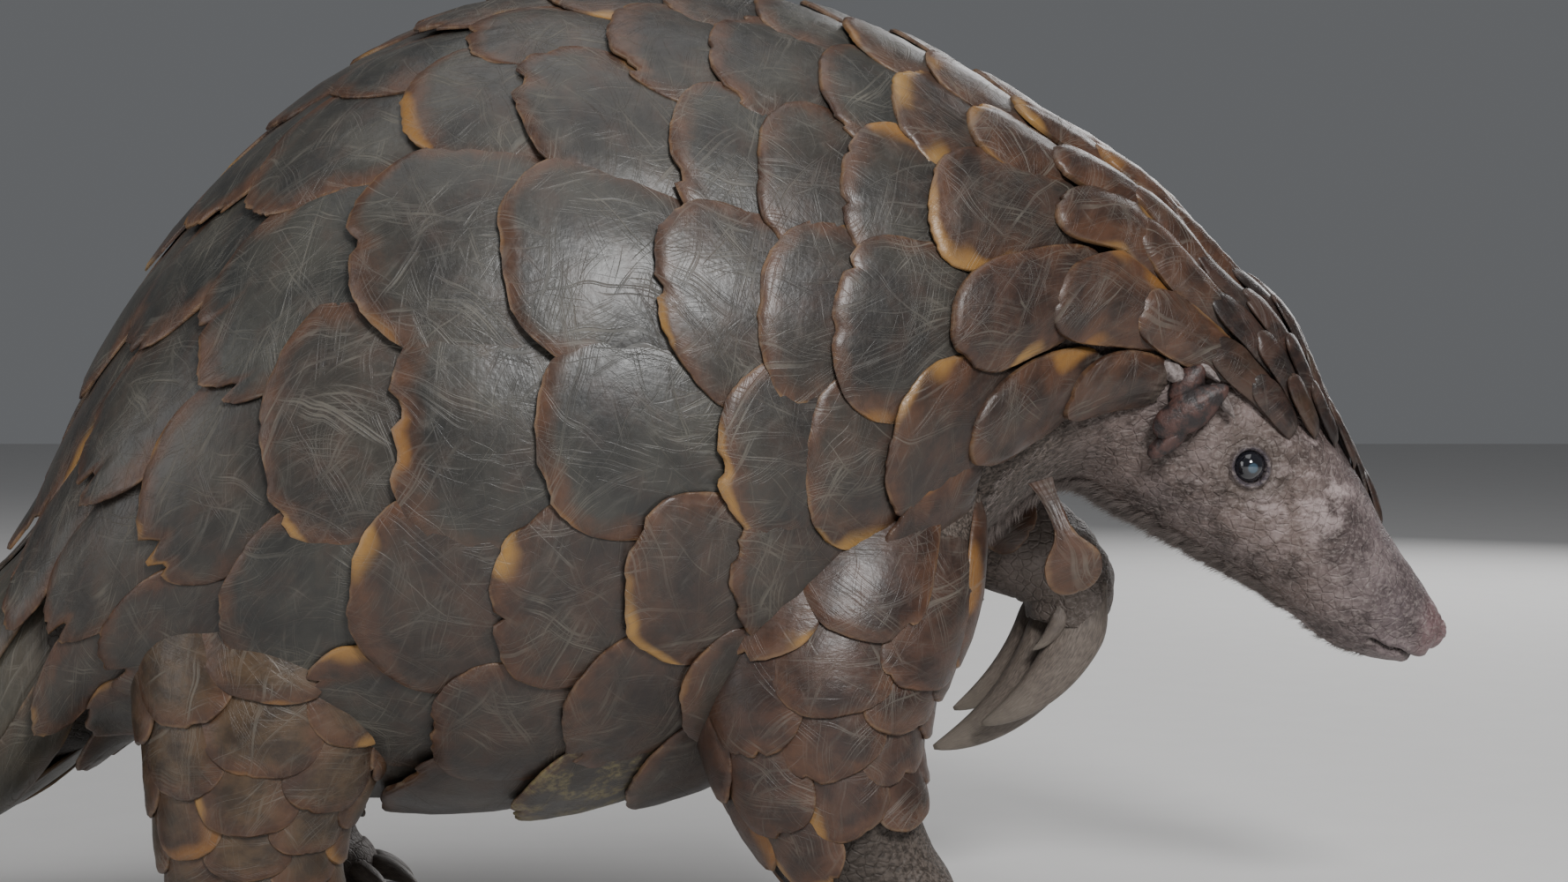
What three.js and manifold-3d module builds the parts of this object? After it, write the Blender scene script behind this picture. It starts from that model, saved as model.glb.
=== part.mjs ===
// A ground pangolin, life size, as a still model: back arched, head lowered, one forefoot raised in mid-step.
// Millimetres, +Z up, the head towards +X and the animal's left towards +Y. The floor is z = 0.
import * as THREE from "three";
import { mergeVertices } from "three/addons/utils/BufferGeometryUtils.js";
import Module from "manifold-3d";

const wasm = await Module();
wasm.setup();

// Sizes of the trunk, from the nose to the tip of the tail.
// Each section is a plane through the ridge of the back and the middle of the underside, at right angles to the
// animal's own middle plane: [ridge x, ridge z, underside x, underside z, half width, squareness below, sag].
// Squareness under 1 flattens the lower half, and sag puts the widest place lower down.
const SECTIONS = [
  [246, 90, 243, 81, 5.5, 1, 0],
  [244.5, 94, 239, 78.5, 8.6, 1, 0],
  [240, 101, 231, 78, 11, 1, 0],
  [235, 108, 221, 80, 14, 1, 0.02],
  [229, 117, 211, 85, 16.8, 1, 0.04],
  [222, 132, 196, 97, 20.5, 0.96, 0.05],
  [211, 152, 177, 108, 25.5, 0.95, 0.05],
  [199, 176, 155, 120, 30.5, 0.95, 0.05],
  [180, 191, 138, 128, 36, 0.95, 0.04],
  [159, 211, 121, 118, 45, 0.95, 0.03],
  [130, 229, 102, 98, 59.5, 0.95, 0.04],
  [96, 247, 78, 72, 73, 0.93, 0.07],
  [57, 259, 48, 52, 84, 0.92, 0.1],
  [17, 263, 14, 44, 91, 0.9, 0.12],
  [-22, 258, -19, 42, 93, 0.9, 0.12],
  [-57, 242, -50, 45, 90, 0.9, 0.12],
  [-87, 217, -76, 50, 84, 0.9, 0.1],
  [-111, 187, -101, 57, 74, 0.88, 0.08],
  [-128, 155, -121, 62, 63, 0.84, 0.08],
  [-142, 124, -138, 54, 56, 0.8, 0.1],
  [-163, 99, -158, 41, 52.5, 0.75, 0.14],
  [-200, 78, -196, 23, 50, 0.7, 0.18],
  [-245, 59, -243, 9.5, 48, 0.68, 0.2],
  [-296, 46, -295, 4.2, 45.5, 0.66, 0.2],
  [-352, 39.5, -352, 3.4, 42, 0.66, 0.2],
  [-410, 34.5, -410, 3.4, 37, 0.66, 0.2],
  [-466, 29.5, -466, 3.4, 31, 0.66, 0.2],
  [-516, 24, -516, 3.6, 24, 0.68, 0.18],
  [-552, 18, -552, 4, 16, 0.75, 0.12],
  [-572, 12, -572, 5, 7, 1, 0],
];
const SNOUT_CAP = 2.4; // how far the nose pad bulges past the first section
const TAIL_CAP = 4;
const TAIL_COAT_FROM = 445; // where the scales begin to go all round the body, ten to the ring
const TAIL_RING_SHIFT = 0.375; // how far the tail's rings are out of step with the trunk's, in pitches
const TAIL_COAT_RISE = 1.02; // how much higher the tail's scales stand than those of the trunk would there
const TAIL_ROWS = 10; // the rows of scales round the tail, counted from the first one
const TAIL_FIRST_ROW = -4;
const TAIL_SWAY = 26; // how far the tail's tip swings to the animal's left
const SWAY_FROM = -150;
const ROUND_ABOVE = 0.97; // the squareness of the upper half, everywhere
const SIDES = 18;
const TIP = SECTIONS.length - 1;
const STRIDE = 0.05; // the steps along the list of sections in which the body's length is measured
const NUDGE = 0.02; // the step along the list of sections that slopes are taken over

// Where the trunk is parted into nodes, as places in the list of sections.
const CUTS = { nape: 7.65, shoulder: 9.5, root: 18.2, tailBend: 20.6, tailMiddle: 23.6 };
const CUT_WIDTH = 300;
const CUT_MARGIN = 40; // how much taller than the body a cut is
const LIMB_CUT = 80; // how wide a cut across a limb is
const GAP = 0.36; // clearance between two nodes that touch
const SEAM_TOLERANCE = 0.05; // joined pieces may differ this much from their own shapes where they meet

// The coat of scales: tables of [distance from the nose, value]. Pitch is the spacing of the rings of scales along
// the body, step the angle between two rows round it, and coat how high the free edge of a scale stands.
const PITCH = [[30, 13.5], [85, 15], [112, 19], [135, 23], [160, 25], [188, 27], [223, 34], [260, 42], [330, 43],
  [386, 40], [434, 39], [602, 41], [717, 38], [800, 32], [879, 24]];
const STEP = [[30, 13], [94, 17.5], [115, 23], [135, 28], [160, 28.5], [188, 27.5], [223, 26], [260, 25], [370, 25],
  [409, 28], [434, 32], [461, 36], [879, 36]];
const COAT = [[30, 1.3], [60, 2], [110, 2.8], [160, 3.8], [223, 4.6], [330, 4.6], [434, 4], [717, 3.4], [879, 2]];
const CROWN_FRONT = 34; // where the middle row of scales starts on the bridge of the nose
const CROWN_BACKSET = 9.5; // how much further back each row to the side starts
const ROW_LIMITS = [[0, 4], [146, 5], [196, 6], [372, 5], [405, 4]]; // the outermost row from each distance on
// The free edge of a scale, from the corner where it comes out from under its neighbour to the other corner, as
// [rows to the side, pitches behind the scale's own place].
const EDGE = [[-0.57, 0.24], [-0.27, 0.95], [0.27, 0.95], [0.57, 0.24]];
// The face of a scale in triangles between the ten corners of its outline: 0 to 3 along its own free edge, 4 and 9
// where its neighbours' edges end, and 5 to 8 along the free edge before it.
const FACE = [[2, 3, 6], [3, 4, 6], [4, 5, 6], [1, 2, 7], [2, 6, 7], [0, 1, 7], [0, 7, 9], [7, 8, 9]];
const UNEVEN = { along: 0.09, across: 0.05, rise: 0.14 }; // how much the scales differ from each other
// Depths under the bare skin, in parts of the coat's height: of the roots, of the front of a scale where none is
// before it, and of the skin under the scales.
const DEPTHS = { root: 1.6, first: 0.45, bed: 0.5 };
const BED_SLOPE = 14; // over how many degrees the skin sinks to its bed at the edge of the coat

// Limbs. Each place along one is [x, distance from the middle plane, z, half depth fore and aft, half breadth].
const HIND_LEG = [
  [-70, 48, 124, 38, 22],
  [-72, 56, 92, 37, 25],
  [-76, 60, 66, 29.5, 23],
  [-79, 61, 45, 22.5, 20],
  [-79, 61, 30, 19, 17.5],
  [-78, 61, 19, 18.5, 17.5],
  [-77, 61, 11, 21, 18.5],
  [-75, 61, 4, 23.5, 20],
  [-75, 61, 0, 22.5, 19],
];
const FORE_LEG = [
  [84, 42, 136, 30, 18],
  [76, 52, 108, 33, 22],
  [68, 58, 82, 30, 21.5],
  [69, 59.5, 60, 25, 19.5],
  [76, 59, 42, 20, 17],
  [85, 58, 28, 16, 15],
  [92, 58, 19.5, 14.5, 15],
  [98, 58, 12.5, 11.5, 14],
];
const RAISED_LEG = [
  [88, 44, 131, 25, 18],
  [104, 48, 122, 22.5, 19],
  [120, 49, 114, 19.5, 18],
  [133, 48, 107, 17, 16],
  [141, 47, 101, 15.5, 15],
  [145, 46, 93, 14.5, 15],
  [144, 45, 84, 11, 13],
];
const LIMB_SIDES = 12;
const LEFT_HIND_BACK = 14; // the left hind leg stands this much further back
const GROWN_FOOT = 4; // the place in the lists from which a foot's claws are cut clear

// The scales on the outer side of a limb: how many rings and rows, the first ring's place in the list, the places
// from ring to ring, the angle from row to row, and how far the middle row is turned to the front.
const HIND_COAT = { rings: 3, rows: 2, first: 1.75, pitch: 0.92, step: 43, turn: 6, rise: 3.6 };
const FORE_COAT = { rings: 3, rows: 2, first: 1.6, pitch: 0.95, step: 43, turn: 8, rise: 3.6 };
const RAISED_COAT = { rings: 2, rows: 2, first: 0.6, pitch: 0.85, step: 43, turn: 40, rise: 3 };

const LIMB_COAT_LIFT = 1.2; // how far the coat of a limb stands off its skin

// The thin cuts that part the limbs from the trunk: a box round each limb, whose top face leans outwards and
// upwards through the joint. Its corners are given from the joint, then it is leant, dived and moved there.
const JOINTS = {
  hind: { low: [-34, -50, -150], high: [34, 40, 0], lean: 20, dive: 0, at: [-76, 60, 62] },
  fore: { low: [-37, -50, -150], high: [46, 40, 0], lean: 25, dive: 0, at: [70, 60, 92] },
  raised: { low: [0, -24, -95], high: [70, 24, 22], lean: 0, dive: 27, at: [116, 48, 116] },
};
const ANKLES = {
  hind: { at: [-78, 61, 19], dive: 90 },
  fore: { at: [88, 58, 24], dive: 60 },
  raised: { at: [137, 48, 104], dive: 38 },
};

// Eyes and ears, placed on the head by section and by the angle down from the ridge.
const EYE = { section: 6.32, angle: 94, radius: 4.9, sunk: 2.6 };
const LID = { thick: 1.25, clear: 0.4, stretch: [1.12, 0.94, 1], stand: 1.9 };
const EAR = { section: 7.15, angle: 84, stand: 1.5, halfSizes: [7, 4.2, 10], wall: 1.7, slope: 35 };
const EAR_HOLLOW = [5.25, 1.5]; // how far forwards and outwards the hollow of the ear lies
const MOUTH = { radius: 9, slit: 0.9, slope: 22, at: [235, 0, 80] };
const LIP = { thick: 1.4, rise: 1.3, narrow: 0.86 };
const NOSTRIL = { radius: 1.5, stretch: 1.7, at: [245.4, 4.4, 88], slope: 50 };

// Claws: length round the outer curve, depth and breadth at the root, and the angle that the claw bends through.
const FORE_CLAWS = [
  { name: "1", across: -11.5, length: 17, depth: 6, breadth: 5, bend: 55 },
  { name: "2", across: -8, length: 48, depth: 10.5, breadth: 7.5, bend: 62 },
  { name: "3", across: 0, length: 62, depth: 13, breadth: 8.6, bend: 66 },
  { name: "4", across: 8, length: 46, depth: 10.5, breadth: 7.5, bend: 60 },
  { name: "5", across: 12.5, length: 16, depth: 6, breadth: 5, bend: 50 },
];
const HIND_CLAWS = [
  { name: "1", turn: -64, length: 15, depth: 6.5, breadth: 7, bend: 38 },
  { name: "2", turn: -33, length: 19, depth: 7.5, breadth: 8.5, bend: 42 },
  { name: "3", turn: -4, length: 20, depth: 8, breadth: 9, bend: 42 },
  { name: "4", turn: 25, length: 19, depth: 7.5, breadth: 8.5, bend: 42 },
  { name: "5", turn: 56, length: 15, depth: 6.5, breadth: 7, bend: 38 },
];

const SMALL_CLAW = 20; // claws shorter than this are plainer
const CLAW_FAN = 0.008; // how much the claws of a forefoot spread, for each millimetre from the middle one
const NAIL_ROOT = 5; // how deep a hind nail starts inside the foot
const NAIL_HEIGHT = 7;
// Where the claws of a forefoot start, the way they leave it and the way they curl.
const KNUCKLES = {
  fore: { knuckle: [100, 58, 10.4], ahead: [-0.88, 0, -0.47], inward: [-0.47, 0, 0.88] },
  raised: { knuckle: [146, 45, 90], ahead: [-0.1, 0, -1], inward: [-1, 0, 0.1] },
};
const SMALL_CLAW_INSET = 4; // how much further in the small claws start, towards the palm
const CLAW_END = 0.96; // the share of a claw's length at which its last ring lies, before the tip
const CLAW_TAPER = [1.7, 0.8]; // how late and how bluntly a claw narrows

// What lies under the floor.
const UNDERGROUND = { size: [1200, 400, 60], at: [-160, 0, -30] };

const FINISH = {
  scales: { color: 0x5a4d40, roughness: 0.5, metalness: 0 },
  face: { color: 0x84716a, roughness: 0.8, metalness: 0 },
  ear: { color: 0x55443c, roughness: 0.8, metalness: 0 },
  foot: { color: 0x6f5f55, roughness: 0.8, metalness: 0 },
  claw: { color: 0x8f8272, roughness: 0.4, metalness: 0 },
  eye: { color: 0x0b0a0c, roughness: 0.08, metalness: 0 },
};

const radians = THREE.MathUtils.degToRad;
const vector = (x, y, z) => new THREE.Vector3(x, y, z);

// Straight lines between the rows of a table, and its end values past them.
function lookUp(table, at) {
  if (at <= table[0][0]) return table[0][1];
  for (let i = 1; i < table.length; i++) {
    const [x0, y0] = table[i - 1];
    const [x1, y1] = table[i];
    if (at <= x1) return y0 + ((y1 - y0) * (at - x0)) / (x1 - x0);
  }
  return table[table.length - 1][1];
}

// A smooth curve through rows of numbers, at a fractional row.
function smoothRow(rows, at) {
  const last = rows.length - 1;
  const i = Math.min(Math.max(Math.floor(at), 0), last - 1);
  const t = at - i;
  const [a, b, c, d] = [i - 1, i, i + 1, i + 2].map((n) => rows[Math.min(Math.max(n, 0), last)]);
  return b.map((_, k) => {
    const pull = c[k] - a[k];
    const far = 2 * a[k] - 5 * b[k] + 4 * c[k] - d[k];
    const bow = 3 * b[k] - a[k] - 3 * c[k] + d[k];
    return b[k] + 0.5 * t * (pull + t * (far + t * bow));
  });
}

// The trunk's surface

// How far along the body's middle line a place in the list of sections is, tabled once.
const middleOf = (section) => {
  const [ridgeX, ridgeZ, underX, underZ] = smoothRow(SECTIONS, section);
  return vector((ridgeX + underX) / 2, 0, (ridgeZ + underZ) / 2);
};
const distances = [[0, 0]];
for (let section = STRIDE; section <= TIP + STRIDE / 2; section += STRIDE) {
  const stretch = middleOf(section).distanceTo(middleOf(section - STRIDE));
  distances.push([section, distances[distances.length - 1][1] + stretch]);
}
const sectionsByDistance = distances.map(([section, distance]) => [distance, section]);

// A point on the trunk, raised off the skin by lift. The angle goes from 0 on the ridge to 180 below, and is
// positive on the animal's left.
function skinPoint(section, angle) {
  const [ridgeX, ridgeZ, underX, underZ, half, square, sag] = smoothRow(SECTIONS, section);
  const [c, s] = [Math.cos(radians(angle)), Math.sin(radians(angle))];
  const power = c < 0 ? square : ROUND_ABOVE;
  const up = Math.sign(c) * Math.abs(c) ** power;
  const out = Math.sign(s) * Math.abs(s) ** power * half * (1 - sag * c);
  const back = Math.max(0, SWAY_FROM - (ridgeX + underX) / 2) / (SWAY_FROM - SECTIONS[TIP][0]);
  return vector(
    (ridgeX + underX) / 2 + (up * (ridgeX - underX)) / 2,
    out + TAIL_SWAY * back * back,
    (ridgeZ + underZ) / 2 + (up * (ridgeZ - underZ)) / 2,
  );
}
function trunkPoint(section, angle, lift = 0) {
  const place = Math.min(Math.max(section, NUDGE), TIP - NUDGE);
  const point = skinPoint(place, angle);
  if (!lift) return point;
  const along = skinPoint(place + NUDGE, angle).sub(skinPoint(place - NUDGE, angle));
  const round = skinPoint(place, angle + 1).sub(skinPoint(place, angle - 1));
  return point.addScaledVector(round.cross(along).normalize(), lift);
}

// How far the skin lies below its bare level because scales grow there.
function bedDepth(section, angleFromRidge) {
  const distance = lookUp(distances, section);
  const depth = DEPTHS.bed * lookUp(COAT, distance);
  if (distance > TAIL_COAT_FROM) return depth;
  const rows = Math.min(outermostRow(distance), (distance - CROWN_FRONT) / CROWN_BACKSET);
  const edge = (rows + 0.5) * lookUp(STEP, distance);
  return depth * THREE.MathUtils.clamp((edge - angleFromRidge) / BED_SLOPE, 0, 1);
}

// Closed solids from rings of points

function solidFrom(points, faces) {
  const geometry = new THREE.BufferGeometry().setFromPoints(points);
  geometry.setIndex(faces.flat());
  return toManifold(geometry);
}
function turnedInsideOut(geometry) {
  const turned = geometry.clone();
  turned.setIndex([...geometry.index.array].reverse());
  return turned;
}
function toManifold(geometry) {
  const bare = geometry.clone();
  bare.deleteAttribute("normal");
  bare.deleteAttribute("uv");
  const merged = mergeVertices(bare);
  const solid = new wasm.Manifold(
    new wasm.Mesh({
      numProp: 3,
      vertProperties: merged.attributes.position.array,
      triVerts: new Uint32Array(merged.index.array),
      tolerance: SEAM_TOLERANCE,
    }),
  );
  return solid.volume() > 0 ? solid : toManifold(turnedInsideOut(merged));
}

// Rings with the same number of points, joined in order and closed at both ends by a point each.
function loft(rings, firstPole, lastPole) {
  const count = rings[0].length;
  const points = [...rings.flat(), firstPole, lastPole];
  const [first, last] = [points.length - 2, points.length - 1];
  const faces = [];
  for (let r = 0; r < rings.length - 1; r++)
    for (let i = 0; i < count; i++) {
      const [a, b] = [r * count + i, r * count + ((i + 1) % count)];
      faces.push([a, b, b + count], [a, b + count, a + count]);
    }
  const end = (rings.length - 1) * count;
  for (let i = 0; i < count; i++) {
    faces.push([first, (i + 1) % count, i]);
    faces.push([last, end + i, end + ((i + 1) % count)]);
  }
  return solidFrom(points, faces);
}
const average = (ring) =>
  ring.reduce((sum, p) => sum.add(p), vector(0, 0, 0)).divideScalar(ring.length);

// The bare body, from the nose to the tip of the tail.
function trunkSolid() {
  const rings = SECTIONS.map((_, section) =>
    Array.from({ length: SIDES }, (_unused, i) => {
      const angle = (i * 360) / SIDES;
      return trunkPoint(section, angle, -bedDepth(section, Math.min(angle, 360 - angle)));
    }),
  );
  return loft(
    rings,
    average(rings[0]).addScaledVector(axisAt(0), -SNOUT_CAP),
    average(rings[TIP]).addScaledVector(axisAt(TIP), TAIL_CAP),
  );
}
// The direction from head to tail, square to the section there.
function axisAt(section) {
  const [ridgeX, ridgeZ, underX, underZ] = smoothRow(SECTIONS, section);
  return vector(underZ - ridgeZ, 0, ridgeX - underX).normalize();
}

// The coat of scales

// A sheet of overlapping scales on a surface, with its roots under the skin. Each scale is one slanting face that
// starts low under the scale before it and stands highest at its free edge, and a step leads down to the next.
// at(ring, row, lift) gives the points, coatAt(ring) the height of the free edges, and wrap(row) names a row that
// meets another on the far side of the body.
function scaleCoat(scales, at, coatAt, wrap = (row) => row) {
  const label = (ring, row) => `${ring} ${wrap(row)}`;
  const byLabel = new Map(scales.map((scale) => [label(scale.ring, scale.row), scale]));

  const freeEdge = (ring, row) =>
    EDGE.map(([across, along], k) => {
      const middle = k > 0 && k < EDGE.length - 1;
      const seed = 131 * ring + 17 * wrap(row) + 400;
      const longer = middle ? UNEVEN.along * (2 * THREE.MathUtils.seededRandom(seed) - 1) : 0;
      const aside = middle ? UNEVEN.across * (2 * THREE.MathUtils.seededRandom(seed + 0.5) - 1) : 0;
      return { id: `${label(ring, row)} ${k}`, ring: ring + along + longer, row: row + across + aside };
    });
  const last = EDGE.length - 1;
  const outlineOf = ({ ring, row }) => [
    ...freeEdge(ring, row),
    freeEdge(ring - 0.5, row + 1)[0],
    ...freeEdge(ring - 1, row).reverse(),
    freeEdge(ring - 0.5, row - 1)[last],
  ];
  const liftOf = (scale, place) => {
    const before = label(scale.ring - 1, scale.row);
    if (!byLabel.has(before) && place.id.startsWith(`${before} `)) return -DEPTHS.first * coatAt(place.ring);
    const behind = (place.ring - scale.ring + 1 - EDGE[0][1]) / (2 - EDGE[0][1]);
    const taller = 1 + UNEVEN.rise * THREE.MathUtils.seededRandom(scale.ring * 7 + scale.row);
    return coatAt(scale.ring) * behind * taller;
  };

  const points = [];
  const indices = new Map();
  const pointAt = (name, ring, row, lift) => {
    if (!indices.has(name)) {
      indices.set(name, points.length);
      points.push(at(ring, row, lift));
    }
    return indices.get(name);
  };
  const owners = new Map(); // every place with the scales that have a corner there
  const edges = new Map(); // every side of an outline with the scale that it belongs to
  scales.forEach((scale) => {
    const outline = outlineOf(scale);
    outline.forEach((place, i) => {
      const next = outline[(i + 1) % outline.length];
      edges.set(`${place.id}>${next.id}`, scale);
      if (!owners.has(place.id)) owners.set(place.id, []);
      owners.get(place.id).push(scale);
    });
  });
  const topPoint = (scale, place) =>
    pointAt(`${label(scale.ring, scale.row)}|${place.id}`, place.ring, place.row, liftOf(scale, place));
  const rootLift = (place) => -DEPTHS.root * coatAt(place.ring);
  const rootPoint = (place) => pointAt(`root|${place.id}`, place.ring, place.row, rootLift(place));

  // The points of one corner from a scale's face down, or up, to the face of its neighbour or to the roots.
  const ladder = (place, scale, neighbour) => {
    const [from, to] = [liftOf(scale, place), neighbour ? liftOf(neighbour, place) : rootLift(place)];
    const between = owners
      .get(place.id)
      .filter((other) => other !== scale && other !== neighbour)
      .filter((other) => (liftOf(other, place) - from) * (liftOf(other, place) - to) < 0)
      .sort((a, b) => Math.sign(to - from) * (liftOf(a, place) - liftOf(b, place)));
    const end = neighbour ? topPoint(neighbour, place) : rootPoint(place);
    return [topPoint(scale, place), ...between.map((other) => topPoint(other, place)), end];
  };

  const faces = [];
  scales.forEach((scale) => {
    const outline = outlineOf(scale);
    FACE.forEach((corners) => {
      const places = corners.map((corner) => outline[corner]);
      faces.push(places.map((place) => topPoint(scale, place)).reverse());
      faces.push(places.map(rootPoint));
    });
    outline.forEach((place, i) => {
      const next = outline[(i + 1) % outline.length];
      const neighbour = edges.get(`${next.id}>${place.id}`);
      if (neighbour && place.id > next.id) return; // the neighbour's side of the step has been made
      const [left, right] = [ladder(place, scale, neighbour), ladder(next, scale, neighbour)];
      let [l, r] = [0, 0];
      while (l < left.length - 1 || r < right.length - 1) {
        const stepRight = l === left.length - 1 || (r < right.length - 1 && r <= l);
        faces.push([left[l], right[r], stepRight ? right[r + 1] : left[l + 1]]);
        if (stepRight) r++;
        else l++;
      }
    });
  });
  return solidFrom(points, faces);
}

// The rings of scales along the trunk: ringDistance[n] is where the places of ring n lie.
const trunkLength = distances[distances.length - 1][1];
const ringDistance = [CROWN_FRONT];
while (ringDistance[ringDistance.length - 1] < trunkLength)
  ringDistance.push(
    ringDistance[ringDistance.length - 1] + lookUp(PITCH, ringDistance[ringDistance.length - 1]),
  );
const ringTable = ringDistance.map((distance, ring) => [ring, distance]);
const distanceByRing = (ring) => (ring < 0 ? CROWN_FRONT + ring * PITCH[0][1] : lookUp(ringTable, ring));
const outermostRow = (distance) => ROW_LIMITS.filter(([from]) => distance >= from).pop()[1];

// A point of the trunk by ring and row, as scaleCoat asks for it.
function trunkByRing(ring, row, lift) {
  const distance = distanceByRing(ring);
  return trunkPoint(lookUp(sectionsByDistance, distance), row * lookUp(STEP, distance), lift);
}
// The rows of the tail go all the way round, so the last one meets the first.
const tailWrap = (row) => ((row - TAIL_FIRST_ROW + 2 * TAIL_ROWS) % TAIL_ROWS) + TAIL_FIRST_ROW;

// The scales of head, neck and torso, or of the tail, the odd rows half a pitch behind the even ones.
function trunkScales(onTail) {
  const scales = [];
  for (let ring = 0; ring < ringDistance.length; ring++)
    for (let row = -6; row <= 6; row++) {
      const place = ring + (Math.abs(row) % 2 ? 0.5 : 0) + (onTail ? TAIL_RING_SHIFT : 0);
      const distance = distanceByRing(place);
      if (onTail !== distance > TAIL_COAT_FROM) continue;
      if (onTail ? tailWrap(row) !== row : Math.abs(row) > outermostRow(distance)) continue;
      if (distance < CROWN_FRONT + CROWN_BACKSET * Math.abs(row)) continue;
      if (distanceByRing(place + 1.1) > trunkLength - 1) continue;
      scales.push({ ring: place, row });
    }
  return scales;
}
const coatByRing = (ring) => lookUp(COAT, distanceByRing(ring));
const tailCoatByRing = (ring) => TAIL_COAT_RISE * coatByRing(ring);

// Limbs

// A point on a limb. along is a place in its list, and the angle 0 faces outwards and 90 faces forwards.
function limbPoint(places, side, along, angle, lift = 0) {
  const placeAt = (t) => smoothRow(places, Math.min(Math.max(t, 0), places.length - 1));
  const [x, out, z, depth, breadth] = placeAt(along);
  const [before, after] = [placeAt(along - 0.1), placeAt(along + 0.1)];
  const down = vector(after[0] - before[0], 0, after[2] - before[2]).normalize();
  const ahead = vector(-down.z, 0, down.x);
  const [c, s] = [Math.cos(radians(angle)), Math.sin(radians(angle))];
  return vector(x, side * (out + (breadth + lift) * c), z).addScaledVector(ahead, (depth + lift) * s);
}
// The bare limb from one place in its list to its end, grown on every side by grow.
function limbSolid(places, side, from = 0, grow = 0) {
  const rings = places.slice(from).map((_, place) =>
    Array.from({ length: LIMB_SIDES }, (_unused, i) =>
      limbPoint(places, side, from + place, (i * 360) / LIMB_SIDES, grow),
    ),
  );
  return loft(rings, average(rings[0]), average(rings[rings.length - 1]));
}
function limbCoat(places, side, { rings, rows, first, pitch, step, turn, rise }) {
  const scales = [];
  for (let ring = 0; ring < rings; ring++)
    for (let row = -rows; row <= rows; row++)
      scales.push({ ring: ring + (Math.abs(row) % 2 ? 0.5 : 0), row });
  const at = (ring, row, lift) =>
    limbPoint(places, side, first + ring * pitch, turn + row * step, lift + LIMB_COAT_LIFT);
  return scaleCoat(scales, at, () => rise);
}
const shiftBack = (places, back) => places.map(([x, ...rest]) => [x - back, ...rest]);

// The box that holds a limb below its joint, on one side of the body.
function jointBox({ low, high, lean, dive, at }, side, back, grow) {
  const size = high.map((value, axis) => value - low[axis] + 2 * grow);
  const middle = high.map((value, axis) => (value + low[axis]) / 2);
  const block = new THREE.BoxGeometry(...size).translate(...middle);
  block.rotateX(radians(lean)).rotateY(radians(dive));
  return toManifold(block.translate(at[0] - back, at[1], at[2]).scale(1, side, 1));
}
// A thin flat cut across an ankle or a wrist.
function ankleCut({ at, dive }, side, back) {
  const sheet = new THREE.BoxGeometry(GAP, LIMB_CUT, LIMB_CUT).rotateY(radians(dive));
  return toManifold(sheet.translate(at[0] - back, side * at[1], at[2]));
}

// Claws

// A claw that grows from root along ahead and bends towards inward, oval in section, ending in a blunt tip.
function claw(root, ahead, inward, { length, depth, breadth, bend }, stations, sides) {
  const radius = length / radians(bend);
  const across = ahead.clone().cross(inward).normalize();
  const spine = (share) => {
    const turn = radians(bend) * share;
    return root
      .clone()
      .addScaledVector(ahead, radius * Math.sin(turn))
      .addScaledVector(inward, radius * (1 - Math.cos(turn)));
  };
  const rings = Array.from({ length: stations }, (_, i) => {
    const share = (i / (stations - 1)) * CLAW_END;
    const turn = radians(bend) * share;
    const towards = inward.clone().multiplyScalar(Math.cos(turn)).addScaledVector(ahead, -Math.sin(turn));
    const size = (1 - share ** CLAW_TAPER[0]) ** CLAW_TAPER[1];
    return Array.from({ length: sides }, (_unused, k) => {
      const angle = (k * 2 * Math.PI) / sides;
      return spine(share)
        .addScaledVector(across, (breadth / 2) * size * Math.cos(angle))
        .addScaledVector(towards, (depth / 2) * size * Math.sin(angle));
    });
  });
  return loft(rings, root.clone(), spine(1));
}

// The five claws of a forefoot, side by side on the knuckles, fanned out a little.
function foreClaws({ knuckle, ahead, inward }, side) {
  const forward = vector(...ahead).normalize();
  const curl = vector(...inward).normalize();
  return FORE_CLAWS.map((size) => {
    const small = size.length < SMALL_CLAW;
    const root = vector(knuckle[0], side * (knuckle[1] + size.across), knuckle[2]);
    if (small) root.addScaledVector(curl, SMALL_CLAW_INSET);
    const fanned = forward.clone().add(vector(0, side * size.across * CLAW_FAN, 0)).normalize();
    return [size.name, claw(root, fanned, curl, size, small ? 3 : 5, small ? 5 : 6)];
  });
}
// The five short nails round the front of a hind foot.
function hindClaws(places, side) {
  const [x, out, , depth, breadth] = places[places.length - 2];
  return HIND_CLAWS.map((size) => {
    const turn = radians(size.turn);
    const reach = vector(Math.cos(turn), side * Math.sin(turn), 0);
    const root = vector(x, side * out, NAIL_HEIGHT).add(
      vector(reach.x * (depth - NAIL_ROOT), reach.y * (breadth - NAIL_ROOT), 0),
    );
    return [size.name, claw(root, reach, vector(0, 0, -1), size, 4, 6)];
  });
}

// Head details

// Where the eye's middle lies, on one side of the head.
function eyeCentre(side) {
  return trunkPoint(EYE.section, side * EYE.angle, -EYE.sunk);
}
function eyeSolid(side, grow = 0) {
  const centre = eyeCentre(side);
  const ball = new THREE.SphereGeometry(EYE.radius + grow, 8, 6);
  return toManifold(ball.translate(centre.x, centre.y, centre.z));
}
// A ring of lid round the eye, lying in the skin.
function lidSolid(side) {
  const out = trunkPoint(EYE.section, side * EYE.angle, 1).sub(trunkPoint(EYE.section, side * EYE.angle));
  const ring = new THREE.TorusGeometry(EYE.radius + LID.clear, LID.thick, 5, 12).scale(...LID.stretch);
  ring.applyQuaternion(new THREE.Quaternion().setFromUnitVectors(vector(0, 0, 1), out));
  const middle = eyeCentre(side).addScaledVector(out, LID.stand);
  return toManifold(ring.translate(middle.x, middle.y, middle.z));
}
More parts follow.
